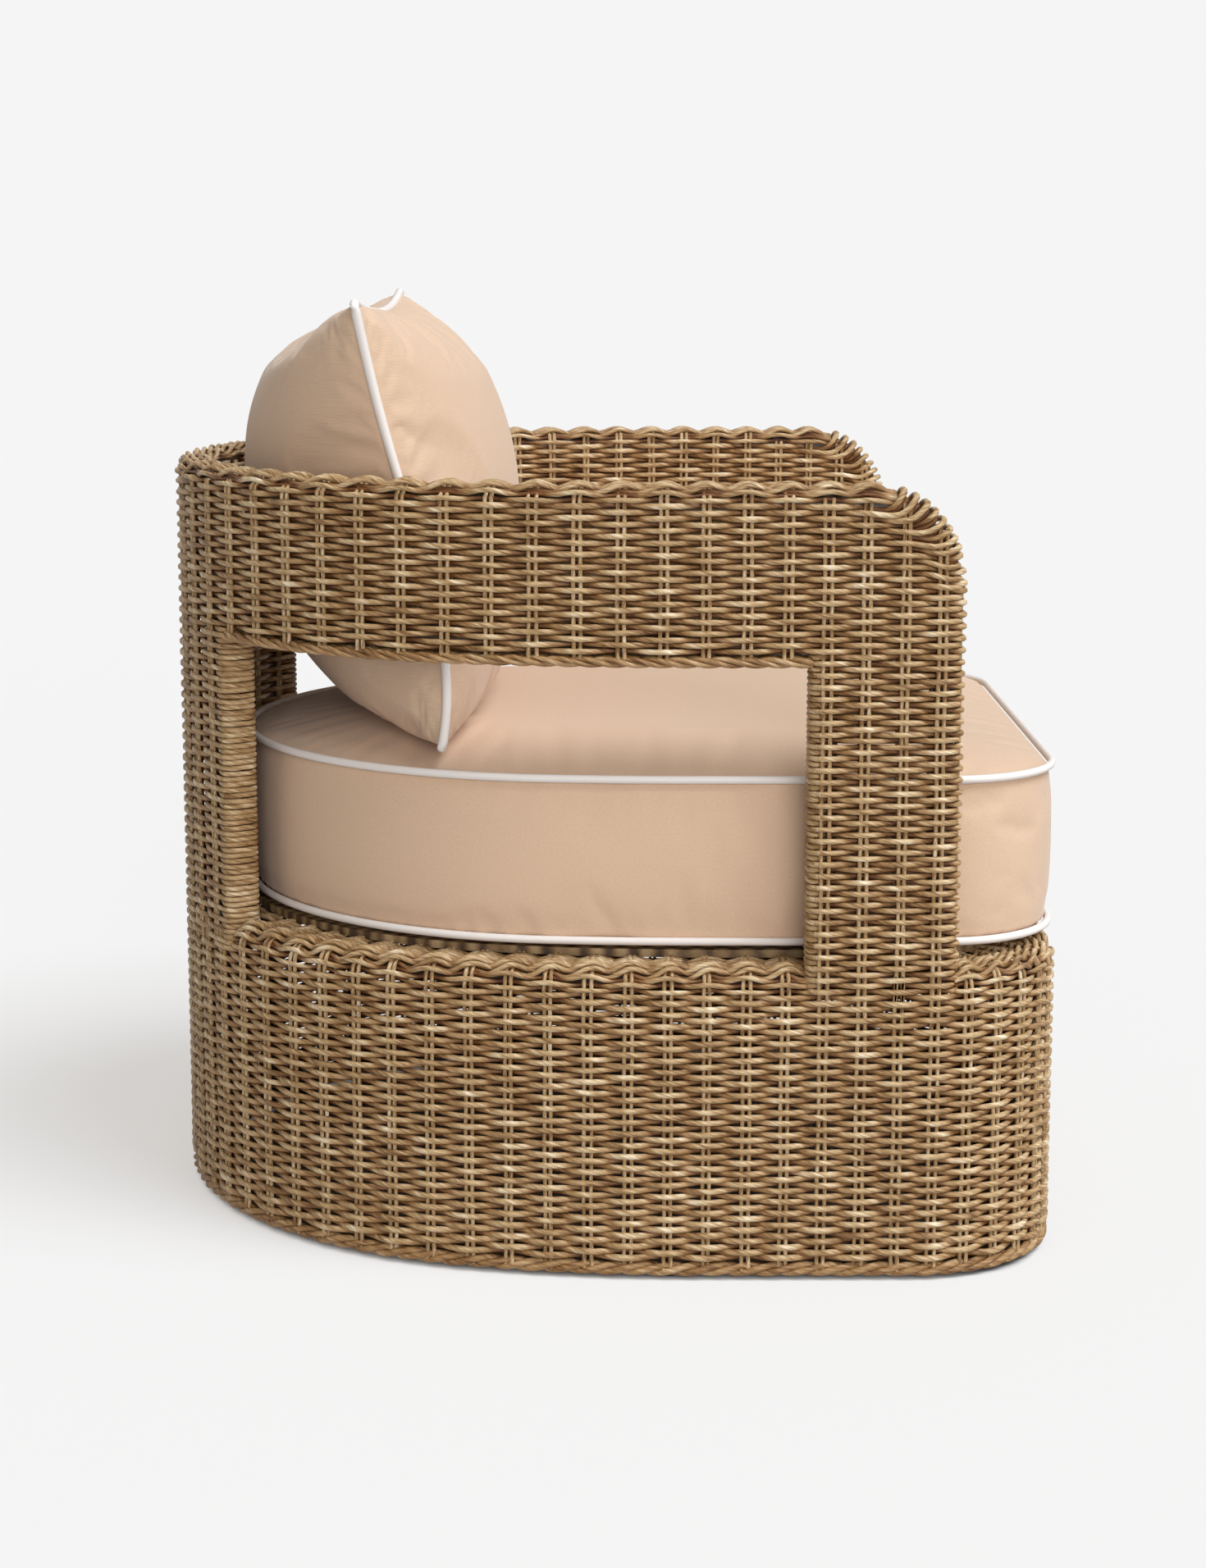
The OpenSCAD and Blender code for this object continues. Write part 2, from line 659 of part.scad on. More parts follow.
seam_share = 1 - (piping_radius + 2 * clearance) / (pillow_height / 2 - pillow_top_draw);
pillow_foot = crown(0) + piping_radius + clearance;
module placed_pillow() {
    translate([0, pillow_setback, pillow_foot])
        rotate([90 - pillow_lean, 0, 0])
            translate([0, pillow_height / 2, 0])
                children();
}

// Closed solid between two grids of points over the pillow's panel
module quilted(low, high) {
    stride = pillow_columns + 1;
    count = stride * (pillow_rows + 1);
    cells = [
        for (i = [0 : pillow_columns - 1], j = [0 : pillow_rows - 1])
        let (a = j * stride + i, b = a + 1, c = a + stride + 1, d = a + stride)
        each [[a, b, c], [a, c, d]]
    ];
    edge = concat([for (i = [0 : pillow_columns - 1]) i],
                  [for (j = [0 : pillow_rows - 1]) j * stride + pillow_columns],
                  [for (i = [pillow_columns : -1 : 1]) pillow_rows * stride + i],
                  [for (j = [pillow_rows : -1 : 1]) j * stride]);
    rim = [for (i = [0 : len(edge) - 1])
           let (a = edge[i], b = edge[(i + 1) % len(edge)])
           each [[a, count + b, b], [a, count + a, count + b]]];
    polyhedron(concat(low, high),
               concat(cells, [for (cell = cells) [count + cell[0], count + cell[2], count + cell[1]]], rim));
}
function pillow_grid(bulge, lift, share) = [
    for (j = [0 : pillow_rows], i = [0 : pillow_columns])
    pillow_point(eased(i, pillow_columns), eased(j, pillow_rows), share, bulge, lift)
];
half_seam = clearance / 2;
insert_margin = 0.01;
module pillow_front_panel() {
    color(canvas)
        placed_pillow()
            quilted(pillow_grid(pillow_front - cover_thickness, half_seam, seam_share),
                    pillow_grid(pillow_front - cover_thickness, half_seam + cover_thickness, seam_share));
}
module pillow_back_panel() {
    color(canvas)
        placed_pillow()
            quilted(pillow_grid(cover_thickness - pillow_back, -half_seam - cover_thickness, seam_share),
                    pillow_grid(cover_thickness - pillow_back, -half_seam, seam_share));
}
module pillow_insert() {
    share = seam_share - insert_margin;
    front = pillow_front - cover_thickness - clearance;
    back = pillow_back - cover_thickness - clearance;
    color(foam)
        placed_pillow()
            quilted(pillow_grid(-back, -half_seam, share), pillow_grid(front, half_seam, share));
}
module pillow_piping() {
    path = concat([for (i = [0 : pillow_columns - 1]) drawn(eased(i, pillow_columns), -1)],
                  [for (j = [0 : pillow_rows - 1]) drawn(1, eased(j, pillow_rows))],
                  [for (i = [pillow_columns : -1 : 1]) drawn(eased(i, pillow_columns), 1)],
                  [for (j = [pillow_rows : -1 : 1]) drawn(-1, eased(j, pillow_rows))]);
    color(trim)
        placed_pillow()
            loft([for (i = [0 : len(path) - 1])
                  let (before = path[(i + len(path) - 1) % len(path)], after = path[(i + 1) % len(path)],
                       along = (after - before) / norm(after - before), out = [along[1], -along[0]])
                  [for (k = [0 : piping_sides - 1])
                   let (angle = -k * 360 / piping_sides, p = path[i] + out * piping_radius * cos(angle))
                   [p[0], p[1], piping_radius * sin(angle)]]], true);
}

floor_hoop();
seat_hoop();
base_uprights();
deck_bars();
arm_tube();
window_tube();
wall_uprights();
seat_deck();
glides_left();
glides_right();
foot_rope_border();
base_weave();
base_rim_braid();
post_weave_left();
post_weave_right();
back_wall_weave();
window_rope_left();
window_rope_right();
band_outer_weave();
band_inner_weave();
arm_top_braid();
arm_end_wrap_left();
arm_end_wrap_right();
seat_foam();
seat_cover_top();
seat_cover_bottom();
seat_boxing();
seat_piping_top();
seat_piping_bottom();
pillow_insert();
pillow_front_panel();
pillow_back_panel();
pillow_piping();
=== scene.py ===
"""Looks of a woven barrel lounge chair, its boxed seat cushion and its lumbar pillow.

The shell is woven from single strands: pairs of upright stakes, rows of weavers that pass in front of
one pair and behind the next, braided borders and twisted ropes. Lengths are in metres.
"""

import math

import bpy
import numpy as np
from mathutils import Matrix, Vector


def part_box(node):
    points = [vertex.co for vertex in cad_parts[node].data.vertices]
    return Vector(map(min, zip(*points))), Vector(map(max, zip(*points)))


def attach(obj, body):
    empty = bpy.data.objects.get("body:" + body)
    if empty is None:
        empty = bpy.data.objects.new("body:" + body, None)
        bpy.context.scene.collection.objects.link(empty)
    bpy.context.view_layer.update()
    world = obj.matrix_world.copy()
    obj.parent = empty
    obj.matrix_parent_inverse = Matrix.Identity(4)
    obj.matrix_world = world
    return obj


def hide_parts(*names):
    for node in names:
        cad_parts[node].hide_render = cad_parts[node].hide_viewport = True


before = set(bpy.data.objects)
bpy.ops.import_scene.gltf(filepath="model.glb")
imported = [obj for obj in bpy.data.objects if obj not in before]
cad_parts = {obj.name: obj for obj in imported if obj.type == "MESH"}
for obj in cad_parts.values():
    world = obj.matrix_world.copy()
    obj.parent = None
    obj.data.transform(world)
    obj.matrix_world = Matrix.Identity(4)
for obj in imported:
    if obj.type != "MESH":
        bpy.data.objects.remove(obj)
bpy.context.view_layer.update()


# ---------------------------------------------------------------- sizes taken from the frame

def node_box(name):
    low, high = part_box(name)
    return np.array(low), np.array(high)


SHELL_HIGH = node_box("base_weave")[1]
HALF_WIDTH = SHELL_HIGH[0]
HALF_DEPTH = SHELL_HIGH[1]
WEAVE_FOOT = node_box("foot_rope_border")[0][2]
BASE_TOP = node_box("base_rim_braid")[1][2]
SHOULDER_Z = SHELL_HIGH[2]
WINDOW_TOP = node_box("window_rope_right")[0][2]
BAND_FOOT = node_box("band_outer_weave")[0][2]
ARM_TOP = node_box("arm_top_braid")[1][2]
RIM_WIDTH = HALF_WIDTH - 0.329

# Plan of the shell, as in the CAD model
STRAIGHT_DEPTH = 0.325
SIDE_RADIUS = 0.850
CORNER_RADIUS = 0.140
WALL = 0.038
POST_WIDTH = 0.140
POST_SETBACK = 0.096
ARM_END_RADIUS = 0.090
BACK_WIDTH = 0.446

# Strands of the weave
STRAND_R = 0.0024
SWELL = 0.07
THICKNESS_SPREAD = 0.04
ROW_PITCH = 0.0051
POINT_STEP = 0.0055
WEAVE_DEPTH = 0.0034
WEAVE_INSET = STRAND_R + WEAVE_DEPTH
SIDES = 7

# Stakes: pairs of upright rods; how far in front they count for the painted shade of the wicker, how far
# they stray from their place and how they bend in slow waves, upright or over a border
STAKE_R = 0.00195
STAKE_GAP = 0.0060
STAKE_PITCH = 0.0322
STAKE_SIDES = 6
STAKE_SHADE_FRONT = 0.7
STAKE_STRAY = 0.0003
STAKE_BOW, STAKE_WAVE = 0.0005, 40
OVER_BOW, OVER_WAVE = 0.0004, 45
CLOSE = 1e-6


class Plan:
    """Outline made of a back arc, two bowed sides, straight flanks, two corner arcs and a straight front."""

    def __init__(self, half_width, back, curve_start, side_radius, front, corner_radius):
        self.half_width, self.back, self.curve_start = half_width, back, curve_start
        self.side_radius, self.front, self.corner_radius = side_radius, front, corner_radius
        reach = back - curve_start
        self.back_radius = (side_radius ** 2 - (side_radius - half_width) ** 2 - reach ** 2) / (
            2 * (side_radius - reach))
        self.back_centre = back - self.back_radius
        self.join = math.atan2(self.back_centre - curve_start, side_radius - half_width)
        runs = [self.back_radius * (math.pi / 2 - self.join), side_radius * self.join,
                curve_start - front - corner_radius, corner_radius * math.pi / 2,
                half_width - corner_radius]
        self.ends = np.cumsum(runs)
        self.half_length = self.ends[-1]

    def at(self, s, inset=0.0):
        """Points (x, y) at runs s from the middle of the back, positive on the +X side."""
        s, inset = np.broadcast_arrays(np.asarray(s, float), np.asarray(inset, float))
        s = (s + self.half_length) % (2 * self.half_length) - self.half_length
        run = np.abs(s)
        back_end, side_end, flank_end, corner_end, _ = self.ends
        stretch = [run <= back_end, run <= side_end, run <= flank_end, run <= corner_end]
        back_angle = math.pi / 2 - run / self.back_radius
        side_angle = self.join - (run - back_end) / self.side_radius
        corner_angle = -(run - flank_end) / self.corner_radius
        corner_x, corner_y = self.half_width - self.corner_radius, self.front + self.corner_radius
        x = np.select(
            stretch,
            [(self.back_radius - inset) * np.cos(back_angle),
             self.half_width - self.side_radius + (self.side_radius - inset) * np.cos(side_angle),
             self.half_width - inset,
             corner_x + (self.corner_radius - inset) * np.cos(corner_angle)],
            corner_x - (run - corner_end))
        y = np.select(
            stretch,
            [self.back_centre + (self.back_radius - inset) * np.sin(back_angle),
             self.curve_start + (self.side_radius - inset) * np.sin(side_angle),
             self.curve_start - (run - side_end),
             corner_y + (self.corner_radius - inset) * np.sin(corner_angle)],
            self.front + inset)
        return np.stack([np.where(s < 0, -x, x), y], -1)

    def run_at(self, y):
        """Run of the flank or the front corner at a given y."""
        corner_y = self.front + self.corner_radius
        if y >= corner_y:
            return self.ends[1] + self.curve_start - y
        return self.ends[2] + self.corner_radius * math.asin((corner_y - y) / self.corner_radius)


SHELL = Plan(HALF_WIDTH, HALF_DEPTH, -HALF_DEPTH + STRAIGHT_DEPTH, SIDE_RADIUS, -HALF_DEPTH, CORNER_RADIUS)
POST_FRONT = SHELL.run_at(-HALF_DEPTH + POST_SETBACK)
POST_REAR = POST_FRONT - POST_WIDTH
BACK_EDGE = BACK_WIDTH / 2
ARM_END = POST_FRONT - ARM_END_RADIUS
ARM_END_Z = ARM_TOP - ARM_END_RADIUS


def wall(s, inset, z):
    """Points in space at runs s, insets and heights z of the shell."""
    s, inset, z = np.broadcast_arrays(np.asarray(s, float), np.asarray(inset, float), np.asarray(z, float))
    return np.concatenate([SHELL.at(s, inset), z[..., None]], -1)


# ---------------------------------------------------------------- tubes of strand gathered into meshes

rng = np.random.default_rng(7)


def put_in_scene(name, data):
    piece = bpy.data.objects.new(name, data)
    bpy.context.scene.collection.objects.link(piece)
    return piece


class Strands:
    """Gathers tubes into one mesh. Each vertex keeps its length along its strand and the cosine and sine
    of its turn around it ("strand"), and the strand's own tone and how far in front it lies ("place"), from
    which the wicker paints shade on strands that lie behind."""

    def __init__(self):
        self.points, self.faces, self.data, self.places, self.count = [], [], [], [], 0

    def add(self, path, radius, closed=False, sides=SIDES, up=(0, 0, 1), front=0.0):
        path = np.asarray(path, float)
        count = len(path)
        if closed:
            along = np.roll(path, -1, 0) - np.roll(path, 1, 0)
        else:
            along = np.gradient(path, axis=0)
        along /= np.linalg.norm(along, axis=1)[:, None] + 1e-12
        up = np.broadcast_to(np.asarray(up, float), path.shape)
        side = np.cross(along, up)
        side /= np.linalg.norm(side, axis=1)[:, None] + 1e-12
        rise = np.cross(side, along)
        angle = np.arange(sides) * 2 * math.pi / sides
        radius = np.broadcast_to(np.asarray(radius, float), (count,))
        ring = (side[:, None] * np.cos(angle)[None, :, None] + rise[:, None] * np.sin(angle)[None, :, None])
        points = path[:, None] + ring * radius[:, None, None]
        steps = np.linalg.norm(np.diff(path, axis=0), axis=1)
        length = np.concatenate([[0], np.cumsum(steps)])
        data = np.zeros((count, sides, 3))
        data[..., 0] = length[:, None] + rng.random() * 3
        data[..., 1], data[..., 2] = np.cos(angle), np.sin(angle)
        # Own tone, and how far in front the strand lies, which the wicker turns into painted shade
        place = np.zeros((count, sides, 3))
        place[..., 0] = rng.random()
        place[..., 1] = np.broadcast_to(np.asarray(front, float), (count,))[:, None]
        start = np.arange(count if closed else count - 1)[:, None] * sides
        step = (start + sides) % (count * sides) - start
        a = start + np.arange(sides)
        b = start + (np.arange(sides) + 1) % sides
        self.faces.append(np.stack([a, b, b + step, a + step], -1).reshape(-1, 4) + self.count)
        self.points.append(points.reshape(-1, 3))
        self.data.append(data.reshape(-1, 3))
        self.places.append(place.reshape(-1, 3))
        first = self.count
        self.count += count * sides
        if not closed:
            for ring_start, order in ((first, 1), (self.count - sides, -1)):
                corner = ring_start + np.arange(sides)[::order]
                quads = [[corner[0], corner[i], corner[i + 1], corner[min(i + 2, sides - 1)]]
                         for i in range(1, sides - 1, 2)]
                self.faces.append(np.array(quads))

    def build(self, name, material, body="chair", replaces=()):
        points, faces = np.concatenate(self.points), np.concatenate(self.faces)
        triangle = faces[:, 2] == faces[:, 3]
        lists = np.where(triangle, 3, 4)
        flat = faces.reshape(-1)[np.tile([True, True, True, False], len(faces)) | np.repeat(~triangle, 4)]
        mesh = bpy.data.meshes.new(name)
        mesh.vertices.add(len(points))
        mesh.vertices.foreach_set("co", points.astype(np.float32).ravel())
        mesh.loops.add(len(flat))
        mesh.loops.foreach_set("vertex_index", flat.astype(np.int32))
        mesh.polygons.add(len(faces))
        mesh.polygons.foreach_set("loop_start", np.concatenate([[0], np.cumsum(lists)[:-1]]).astype(np.int32))
        mesh.polygons.foreach_set("use_smooth", np.ones(len(faces), bool))
        mesh.update(calc_edges=True)
        for label, rows in (("strand", self.data), ("place", self.places)):
            attribute = mesh.attributes.new(label, "FLOAT_VECTOR", "POINT")
            attribute.data.foreach_set("vector", np.concatenate(rows).astype(np.float32).ravel())
        piece = put_in_scene(name, mesh)
        mesh.materials.append(material)
        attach(piece, body)
        if replaces:
            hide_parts(*replaces)
        return piece


# ---------------------------------------------------------------- materials

def node_of(tree, kind, **inputs):
    node = tree.nodes.new(kind)
    for key, value in inputs.items():
        if key in node.inputs:
            node.inputs[key].default_value = value
        else:
            setattr(node, key, value)
    return node


def ramp_of(tree, value, stops):
    """Colours at places along a value that runs from 0 to 1."""
    ramp = tree.nodes.new("ShaderNodeValToRGB")
    while len(ramp.color_ramp.elements) < len(stops):
        ramp.color_ramp.elements.new(0.5)
    for element, (place, color) in zip(ramp.color_ramp.elements, stops):
        element.position = place
        element.color = (*color, 1)
    tree.links.new(value, ramp.inputs[0])
    return ramp.outputs[0]


def grey(stops):
    return [(place, (value, value, value)) for place, value in stops]


def material_base(name, roughness):
    material = bpy.data.materials.new(name)
    material.use_nodes = True
    tree = material.node_tree
    shader = tree.nodes["Principled BSDF"]
    shader.inputs["Roughness"].default_value = roughness
    return material, tree, shader


def math_of(tree, operation, first, second=None, third=None):
    """A math node; numbers are set on it and sockets are linked to it."""
    node = node_of(tree, "ShaderNodeMath", operation=operation)
    for i, value in enumerate((first, second, third)):
        if value is None:
            continue
        if isinstance(value, (int, float)):
            node.inputs[i].default_value = value
        else:
            tree.links.new(value, node.inputs[i])
    return node.outputs[0]


def vector_of(tree, x, y, z):
    node = tree.nodes.new("ShaderNodeCombineXYZ")
    for socket, value in zip(node.inputs, (x, y, z)):
        tree.links.new(value, socket)
    return node.outputs[0]


def split_vector(tree, vector):
    split = tree.nodes.new("ShaderNodeSeparateXYZ")
    tree.links.new(vector, split.inputs[0])
    return split.outputs


def attribute_of(tree, name):
    return node_of(tree, "ShaderNodeAttribute", attribute_name=name).outputs["Vector"]


def object_place(tree):
    return node_of(tree, "ShaderNodeTexCoord").outputs["Object"]


def noise_of(tree, vector, detail, roughness, scale=1.0):
    noise = node_of(tree, "ShaderNodeTexNoise", Scale=scale, Detail=detail, Roughness=roughness)
    tree.links.new(vector, noise.inputs["Vector"])
    return noise.outputs["Fac"]


def raise_surface(tree, shader, height, strength, distance):
    bump = node_of(tree, "ShaderNodeBump", Strength=strength, Distance=distance)
    tree.links.new(height, bump.inputs["Height"])
    tree.links.new(bump.outputs[0], shader.inputs["Normal"])


FIBRE_TWIST = 0.040
FIBRE_LENGTH = 0.018
FIBRES_ROUND = 1.15
FIBRE_SHARE = 0.72
DRIFT_SHARE = 0.45
WICKER_SHADES = [(0.43, (0.170, 0.080, 0.025)), (0.54, (0.370, 0.225, 0.098)),
                 (0.65, (0.555, 0.392, 0.212)), (0.79, (0.880, 0.765, 0.575))]
# Painted shade: a strand is multiplied darker and browner the further it lies behind its neighbours
WICKER_PAINTED_SHADE = [(0.0, (0.29, 0.145, 0.055)), (0.5, (0.72, 0.60, 0.48)), (1.0, (1.0, 1.0, 1.0))]


def wicker_material(name, tint=1.0):
    """Resin wicker: a tan strand with straw-coloured fibres that wind slowly round it, with painted shade
    that makes it darker and browner where it passes behind its neighbours."""
    material, tree, shader = material_base(name, 0.5)
    length, cosine, sine = split_vector(tree, attribute_of(tree, "strand"))
    tone, front, _ = split_vector(tree, attribute_of(tree, "place"))

    turn = math_of(tree, "MULTIPLY", length, 2 * math.pi / FIBRE_TWIST)
    turn_cos, turn_sin = math_of(tree, "COSINE", turn), math_of(tree, "SINE", turn)
    around_x = math_of(tree, "SUBTRACT", math_of(tree, "MULTIPLY", cosine, turn_cos),
                       math_of(tree, "MULTIPLY", sine, turn_sin))
    around_y = math_of(tree, "ADD", math_of(tree, "MULTIPLY", cosine, turn_sin),
                       math_of(tree, "MULTIPLY", sine, turn_cos))
    along = math_of(tree, "MULTIPLY_ADD", length, 1 / FIBRE_LENGTH, math_of(tree, "MULTIPLY", tone, 97))
    fibres = noise_of(tree, vector_of(tree, along, math_of(tree, "MULTIPLY", around_x, FIBRES_ROUND),
                                      math_of(tree, "MULTIPLY", around_y, FIBRES_ROUND)), 3.0, 0.62)
    drift = noise_of(tree, vector_of(tree, math_of(tree, "MULTIPLY", along, 0.45),
                                     math_of(tree, "MULTIPLY", tone, 31), tone), 2.0, 0.5)
    blend = math_of(tree, "MULTIPLY_ADD", fibres, FIBRE_SHARE, math_of(tree, "MULTIPLY", drift, DRIFT_SHARE))
    shades = [(place, tuple(value * tint for value in color)) for place, color in WICKER_SHADES]
    mix = node_of(tree, "ShaderNodeMix", data_type="RGBA", blend_type="MULTIPLY")
    mix.inputs["Factor"].default_value = 1
    tree.links.new(ramp_of(tree, blend, shades), mix.inputs["A"])
    # Painted shade, by how far in front the strand lies
    depth_for_painted_shade = math_of(tree, "MULTIPLY_ADD", front, 0.5, 0.5)
    tree.links.new(ramp_of(tree, depth_for_painted_shade, WICKER_PAINTED_SHADE), mix.inputs["B"])
    tree.links.new(mix.outputs["Result"], shader.inputs["Base Color"])
    raise_surface(tree, shader, fibres, 0.6, 0.0006)
    shader.inputs["Specular IOR Level"].default_value = 0.35
    return material


WICKER = wicker_material("wicker")
BRAID = wicker_material("wicker_braid", 0.96)


# ---------------------------------------------------------------- stakes and rows

BACK_STAKES_BASE = 23
BACK_STAKES_BAND = 21
FIRST_BACK_STEP = 0.0325
STAKE_MARGIN = 0.012


def back_stakes(count):
    """Runs of the stakes from the arm's end back to the middle, a little wider apart towards the back."""
    widening = (ARM_END - FIRST_BACK_STEP * count) / count ** 2
    n = np.arange(count + 1)
    return ARM_END - FIRST_BACK_STEP * n - widening * n ** 2


def stakes_of(back_count, front_end):
    """Runs and turns (+1 outside first) of all stakes on the right half, front stakes included."""
    back = back_stakes(back_count)
    front_count = int((front_end - ARM_END) / STAKE_PITCH + 0.2)
    pitch = (front_end - ARM_END) / max(front_count, 1) if front_end > POST_FRONT else STAKE_PITCH
    front = ARM_END + pitch * np.arange(1, front_count + 1)
    runs = np.concatenate([back[::-1], front])
    index = np.concatenate([-np.arange(back_count + 1)[::-1], np.arange(1, front_count + 1)])
    return runs, index


BASE_RUNS, BASE_INDEX = stakes_of(BACK_STAKES_BASE, SHELL.half_length)
BAND_RUNS, BAND_INDEX = stakes_of(BACK_STAKES_BAND, POST_FRONT - STAKE_MARGIN)


def mirrored(runs, index):
    """The same stakes on both halves, in order from the left to the right."""
    shared = 1 if runs[0] < CLOSE else 0
    left_runs, left_index = -runs[shared:][::-1], index[shared:][::-1]
    return np.concatenate([left_runs, runs]), np.concatenate([left_index, index])


SWING_REST = 0.06


def swing(place, keys, signs, period=None):
    """In and out of the stakes: sign at each key, a soft cosine between keys of opposite sign."""
    if period is not None:
        keys = np.concatenate([[keys[-1] - period], keys, [keys[0] + period]])
        signs = np.concatenate([[signs[-1]], signs, [signs[0]]])
    i = np.clip(np.searchsorted(keys, place, side="right") - 1, 0, len(keys) - 2)
    t = (place - keys[i]) / (keys[i + 1] - keys[i])
    t = np.clip((t - SWING_REST) / (1 - 2 * SWING_REST), 0, 1)
    return signs[i] + (signs[i + 1] - signs[i]) * (1 - np.cos(math.pi * t)) / 2


def wobble(place, scale, seed):
    """Slow hand-made unevenness, between about -1 and 1."""
    noise = np.random.default_rng(seed)
    phase, stretch = noise.random(3) * 2 * math.pi, 0.7 + 0.6 * noise.random(3)
    return sum(np.sin(place / scale * stretch[k] * (k + 1) + phase[k]) / (k + 1) for k in range(3)) / 1.6


LONG_WAVE, LONG_STRAY = 0.07, 0.0005
SHORT_WAVE, SHORT_STRAY = 0.016, 0.00035
SHORT_SEED = 9001


def uneven(place, seed):
    """Height by which a strand strays from its row, in long and short waves."""
    long_waves = LONG_STRAY * wobble(place, LONG_WAVE, seed)
    return long_waves + SHORT_STRAY * wobble(place, SHORT_WAVE, seed + SHORT_SEED)


def thickness_of(weave, base=1.0):
    """Radius of a strand: a little more in front of the stakes than behind, and not the same for any two."""
    return STRAND_R * (base + SWELL * weave + THICKNESS_SPREAD * rng.normal())


def strip_loop(start, end, margin, corner, step):
    """Closed path round a stretch of wall in run and inset: outside forwards, inside backwards."""
    low, high = margin, WALL - margin
    first, last = start + margin, end - margin

    def line(a, b):
        count = max(2, int(round(np.hypot(b[0] - a[0], b[1] - a[1]) / step)))
        return [(a[0] + (b[0] - a[0]) * i / count, a[1] + (b[1] - a[1]) * i / count) for i in range(count)]

    def turn(across, deep, from_angle):
        angles = [from_angle + i * math.pi / 8 for i in range(4)]
        return [(across + corner * math.cos(angle), deep + corner * math.sin(angle)) for angle in angles]

    path = line((first + corner, low), (last - corner, low))
    path += turn(last - corner, low + corner, -math.pi / 2)
    path += line((last, low + corner), (last, high - corner))
    path += turn(last - corner, high - corner, 0)
    path += line((last - corner, high), (first + corner, high))
    path += turn(first + corner, high - corner, math.pi / 2)
    path += line((first, high - corner), (first, low + corner))
    path += turn(first + corner, low + corner, math.pi)
    path = np.array(path)
    along = np.roll(path, -1, 0) - np.roll(path, 1, 0)
    along /= np.linalg.norm(along, axis=1)[:, None]
    outward = np.stack([along[:, 1], -along[:, 0]], -1)
    place = np.concatenate([[0], np.cumsum(np.linalg.norm(np.diff(path, axis=0), axis=1))])
    period = place[-1] + np.linalg.norm(path[0] - path[-1])
    return path, outward, place, period


NO_STAKE = 999


def loop_keys(path, place, spots):
    """Places along a loop nearest to given spots, in order, with the turn number of each spot."""
    found = sorted((place[np.hypot(*(path - spot[:2]).T).argmin()], spot[2]) for spot in spots)
    return np.array([key for key, _ in found]), [number for _, number in found]


EDGE_CORNER = 0.007
EDGE_SIGN = 0.75
EDGE_SPREAD = 0.009
WRAP_STEP = 0.0052
WRAP_FADE = 6


def wrap_rows(strands, side, start, end, stakes, first_row, last_row, edge_number=None):
    """Rows of strand wound round a stretch of wall, in and out of its stakes.

    stakes lists (run, turn number); edge_number is the turn number of a stake on the front edge, if any."""
    path, outward, place, period = strip_loop(start, end, WEAVE_INSET, EDGE_CORNER, WRAP_STEP)
    spots = [(run, WEAVE_INSET, number) for run, number in stakes]
    spots += [(run, WALL - WEAVE_INSET, number) for run, number in stakes]
    middle = WALL / 2
    for run, number in ((end - WEAVE_INSET, edge_number), (start + WEAVE_INSET, None)):
        if number is None:
            spots += [(run, middle - EDGE_SPREAD, NO_STAKE), (run, middle + EDGE_SPREAD, NO_STAKE)]
        else:
            spots.append((run, middle, number))
    keys, numbers = loop_keys(path, place, spots)
    for row in range(first_row, last_row + 1):
        signs = [EDGE_SIGN if number == NO_STAKE else (-1) ** ((number + row) % 2) for number in numbers]
        weave = swing(place, keys, np.array(signs), period)
        s, inset = (path + outward * (WEAVE_DEPTH * weave)[:, None]).T
        lift = uneven(place, row * 31 + int(abs(start) * 1e4))
        lift[-WRAP_FADE:] *= np.linspace(1, 0, WRAP_FADE)
        lift[:WRAP_FADE] *= np.linspace(0, 1, WRAP_FADE)
        line = wall(side * s, inset, row_height(row) + lift)
        strands.add(line, thickness_of(weave), closed=True, front=weave)


def add_stake(strands, run, inset, low, high):
    """A pair of upright rods."""
    for side in (-1, 1):
        s = run + side * STAKE_GAP / 2 + rng.normal() * STAKE_STRAY
        z = np.linspace(low, high, max(3, int((high - low) / 0.03)))
        bend = STAKE_BOW * np.sin(z * STAKE_WAVE + rng.random() * 6)
        out = wall(s, 0, 0) - wall(s, 0.01, 0)
        strands.add(wall(s + bend, inset, z), STAKE_R, up=out / np.linalg.norm(out), sides=STAKE_SIDES,
                    front=STAKE_SHADE_FRONT)


FIRST_ROW_Z = WEAVE_FOOT + 0.0175


def row_height(row):
    return FIRST_ROW_Z + ROW_PITCH * row


BASE_ROWS = int((SHOULDER_Z + 0.002 - FIRST_ROW_Z) / ROW_PITCH)
WALL_ROWS = int((BAND_FOOT + 0.001 - FIRST_ROW_Z) / ROW_PITCH)
BAND_LAST = int((ARM_TOP - 0.0185 - FIRST_ROW_Z) / ROW_PITCH)

# The lowest rows are beaten down and look thicker
BEATEN = 1.06
FOOT_ROWS = 14
FOOT_SWELL = 0.16
BASE_PARTS = 3
FRONT_CALM = 0.05


